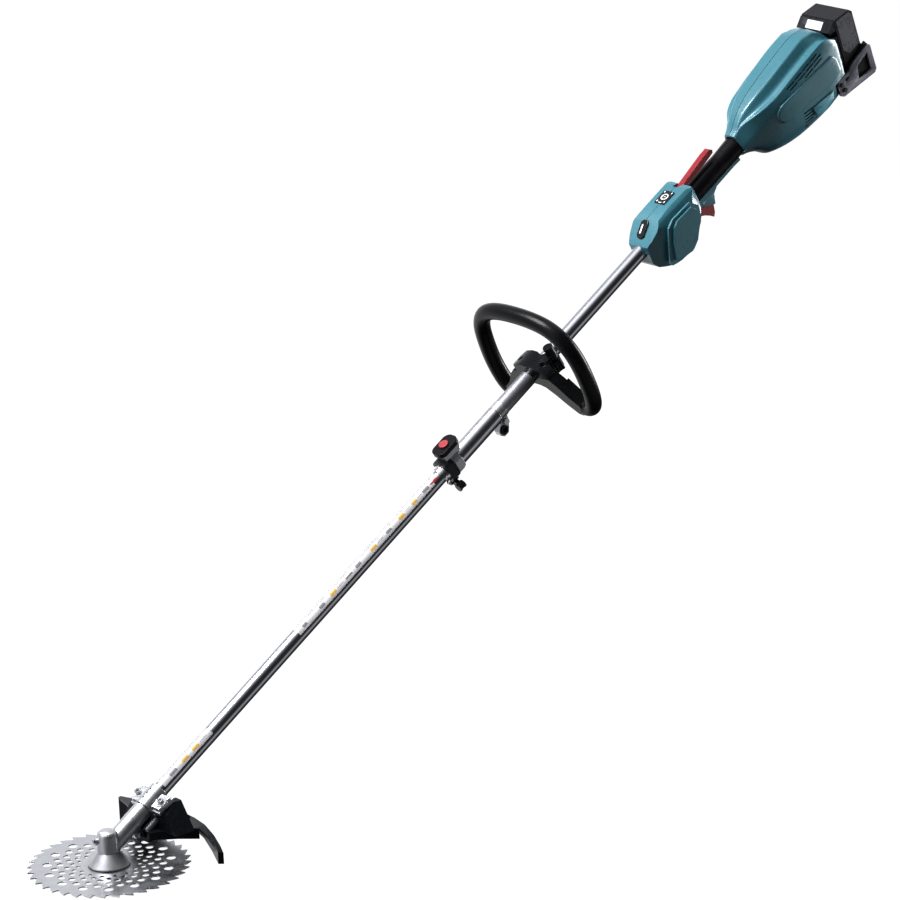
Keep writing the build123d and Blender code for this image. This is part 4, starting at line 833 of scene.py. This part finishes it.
# ------------------------------------------------------------------ studio
def build_floor():
    """Nearly shadeless white floor, left out of reflections and bounced light."""
    half, level = 30.0, -0.0005
    mesh = bpy.data.meshes.new("floor")
    corners = ((-1, -1), (1, -1), (1, 1), (-1, 1))
    mesh.from_pydata([(x * half, y * half, level) for x, y in corners], [], [(0, 1, 2, 3)])
    floor = add_object("floor", mesh)
    material = bpy.data.materials.new("pale_floor")
    material.use_nodes = True
    tree = material.node_tree
    diffuse = tree.nodes["Principled BSDF"]
    feed(diffuse, {"Base Color": (0.9, 0.9, 0.9, 1), "Roughness": 0.9,
                   "Specular IOR Level": 0.0})
    glow = add_node(tree, "ShaderNodeEmission", {"Color": (1, 1, 1, 1), "Strength": 1.06})
    mix = add_node(tree, "ShaderNodeMixShader", {
        "Fac": 0.07, 1: glow.outputs[0], 2: diffuse.outputs[0]})
    feed(tree.nodes["Material Output"], {"Surface": mix.outputs[0]})
    mesh.materials.append(material)
    floor.visible_glossy = False
    floor.visible_diffuse = False


# Two directions square to the pipe: brightness turns from the first (0) to the second (90).
SKY_ZERO = (-0.3291, -0.769, 0.5477)
SKY_QUARTER = (0.3961, -0.639, -0.6592)
# angle round the pipe in degrees, brightness
SKY_STOPS = [(-180, 0.90), (-140, 0.88), (-112, 0.47), (-90, 0.44), (-72, 0.80), (-56, 1.0),
             (-41, 0.9), (-27, 0.45), (-14, 0.16), (0, 0.06), (14, 0.03), (41, 0.025),
             (56, 0.07), (72, 0.36), (90, 0.19), (108, 0.02), (140, 0.04), (164, 0.25),
             (180, 0.90)]


def build_world():
    """Bands of light and dark round the pipe, dimmed for diffuse rays."""
    world = bpy.data.worlds.new("studio")
    bpy.context.scene.world = world
    world.use_nodes = True
    tree = world.node_tree
    coords = tree.nodes.new("ShaderNodeTexCoord")
    toward_zero, toward_quarter = [
        add_node(tree, "ShaderNodeVectorMath", {0: coords.outputs["Generated"], 1: axis},
                 operation="DOT_PRODUCT").outputs["Value"]
        for axis in (SKY_ZERO, SKY_QUARTER)]
    angle = math_node(tree, "ARCTAN2", toward_quarter, toward_zero)
    ramp = add_node(tree, "ShaderNodeValToRGB", {
        "Fac": map_range(tree, angle, start=-pi, end=pi)})
    ramp.color_ramp.interpolation = "EASE"
    elements = ramp.color_ramp.elements
    while len(elements) < len(SKY_STOPS):
        elements.new(0.5)
    for element, (degree, level) in zip(elements, SKY_STOPS):
        element.position = (degree + 180) / 360
        # all but the brightest stops are slightly blue
        element.color = (level, level, level * 1.02 if level < 0.9 else level, 1)
    rays = tree.nodes.new("ShaderNodeLightPath")
    strength = map_range(tree, rays.outputs["Is Diffuse Ray"], start=0, end=1,
                         low=1.5, high=0.22)
    feed(tree.nodes["Background"], {"Color": ramp.outputs["Color"], "Strength": strength})


def add_softbox(name, offset, width, height, energy, glossy):
    """Area light offset in metres from the middle of the tool and aimed at it."""
    target = place(950, 0, 0)
    light = bpy.data.lights.new(name, "AREA")
    light.shape = "RECTANGLE"
    light.size, light.size_y = width, height
    light.energy = energy
    lamp = add_object(name, light)
    lamp.location = target + Vector(offset)
    lamp.rotation_mode = "QUATERNION"
    aim = target - (target + Vector(offset))
    lamp.rotation_quaternion = aim.to_track_quat("-Z", "Y")
    lamp.visible_glossy = glossy
    lamp.visible_camera = False


def build_camera():
    """Long lens from the near side, looking down a little and slightly rolled."""
    lens = bpy.data.cameras.new("camera")
    lens.lens = 184
    lens.sensor_width = 36
    lens.clip_end = 60
    camera = add_object("camera", lens)
    azimuth, elevation, roll = radians(-41.033), radians(18.5949), radians(-2.2917)
    back = Vector((sin(azimuth) * cos(elevation), -cos(azimuth) * cos(elevation),
                   sin(elevation)))
    level_right = Vector((0, 0, 1)).cross(back).normalized()
    level_up = back.cross(level_right)
    right = level_right * cos(roll) + level_up * sin(roll)
    top = -level_right * sin(roll) + level_up * cos(roll)
    location = Vector((-3.8924, -5.3164, 2.8824))
    rows = zip(right, top, back, location)
    camera.matrix_world = Matrix((*rows, (0, 0, 0, 1)))
    bpy.context.scene.camera = camera


build_floor()
build_world()
add_softbox("key", (-1.6, 0.9, 3.0), width=1.8, height=1.8, energy=230, glossy=True)
add_softbox("top", (-2.6, -1.4, 1.6), width=2.2, height=1.6, energy=9, glossy=False)
add_softbox("front", (-0.6, -3.4, 1.2), width=1.6, height=1.6, energy=3, glossy=False)
add_softbox("rim", (3.3, -0.8, 0.5), width=1.0, height=1.6, energy=95, glossy=True)
build_camera()
bpy.context.scene.view_settings.view_transform = "Standard"
bpy.context.scene.view_settings.gamma = 0.84
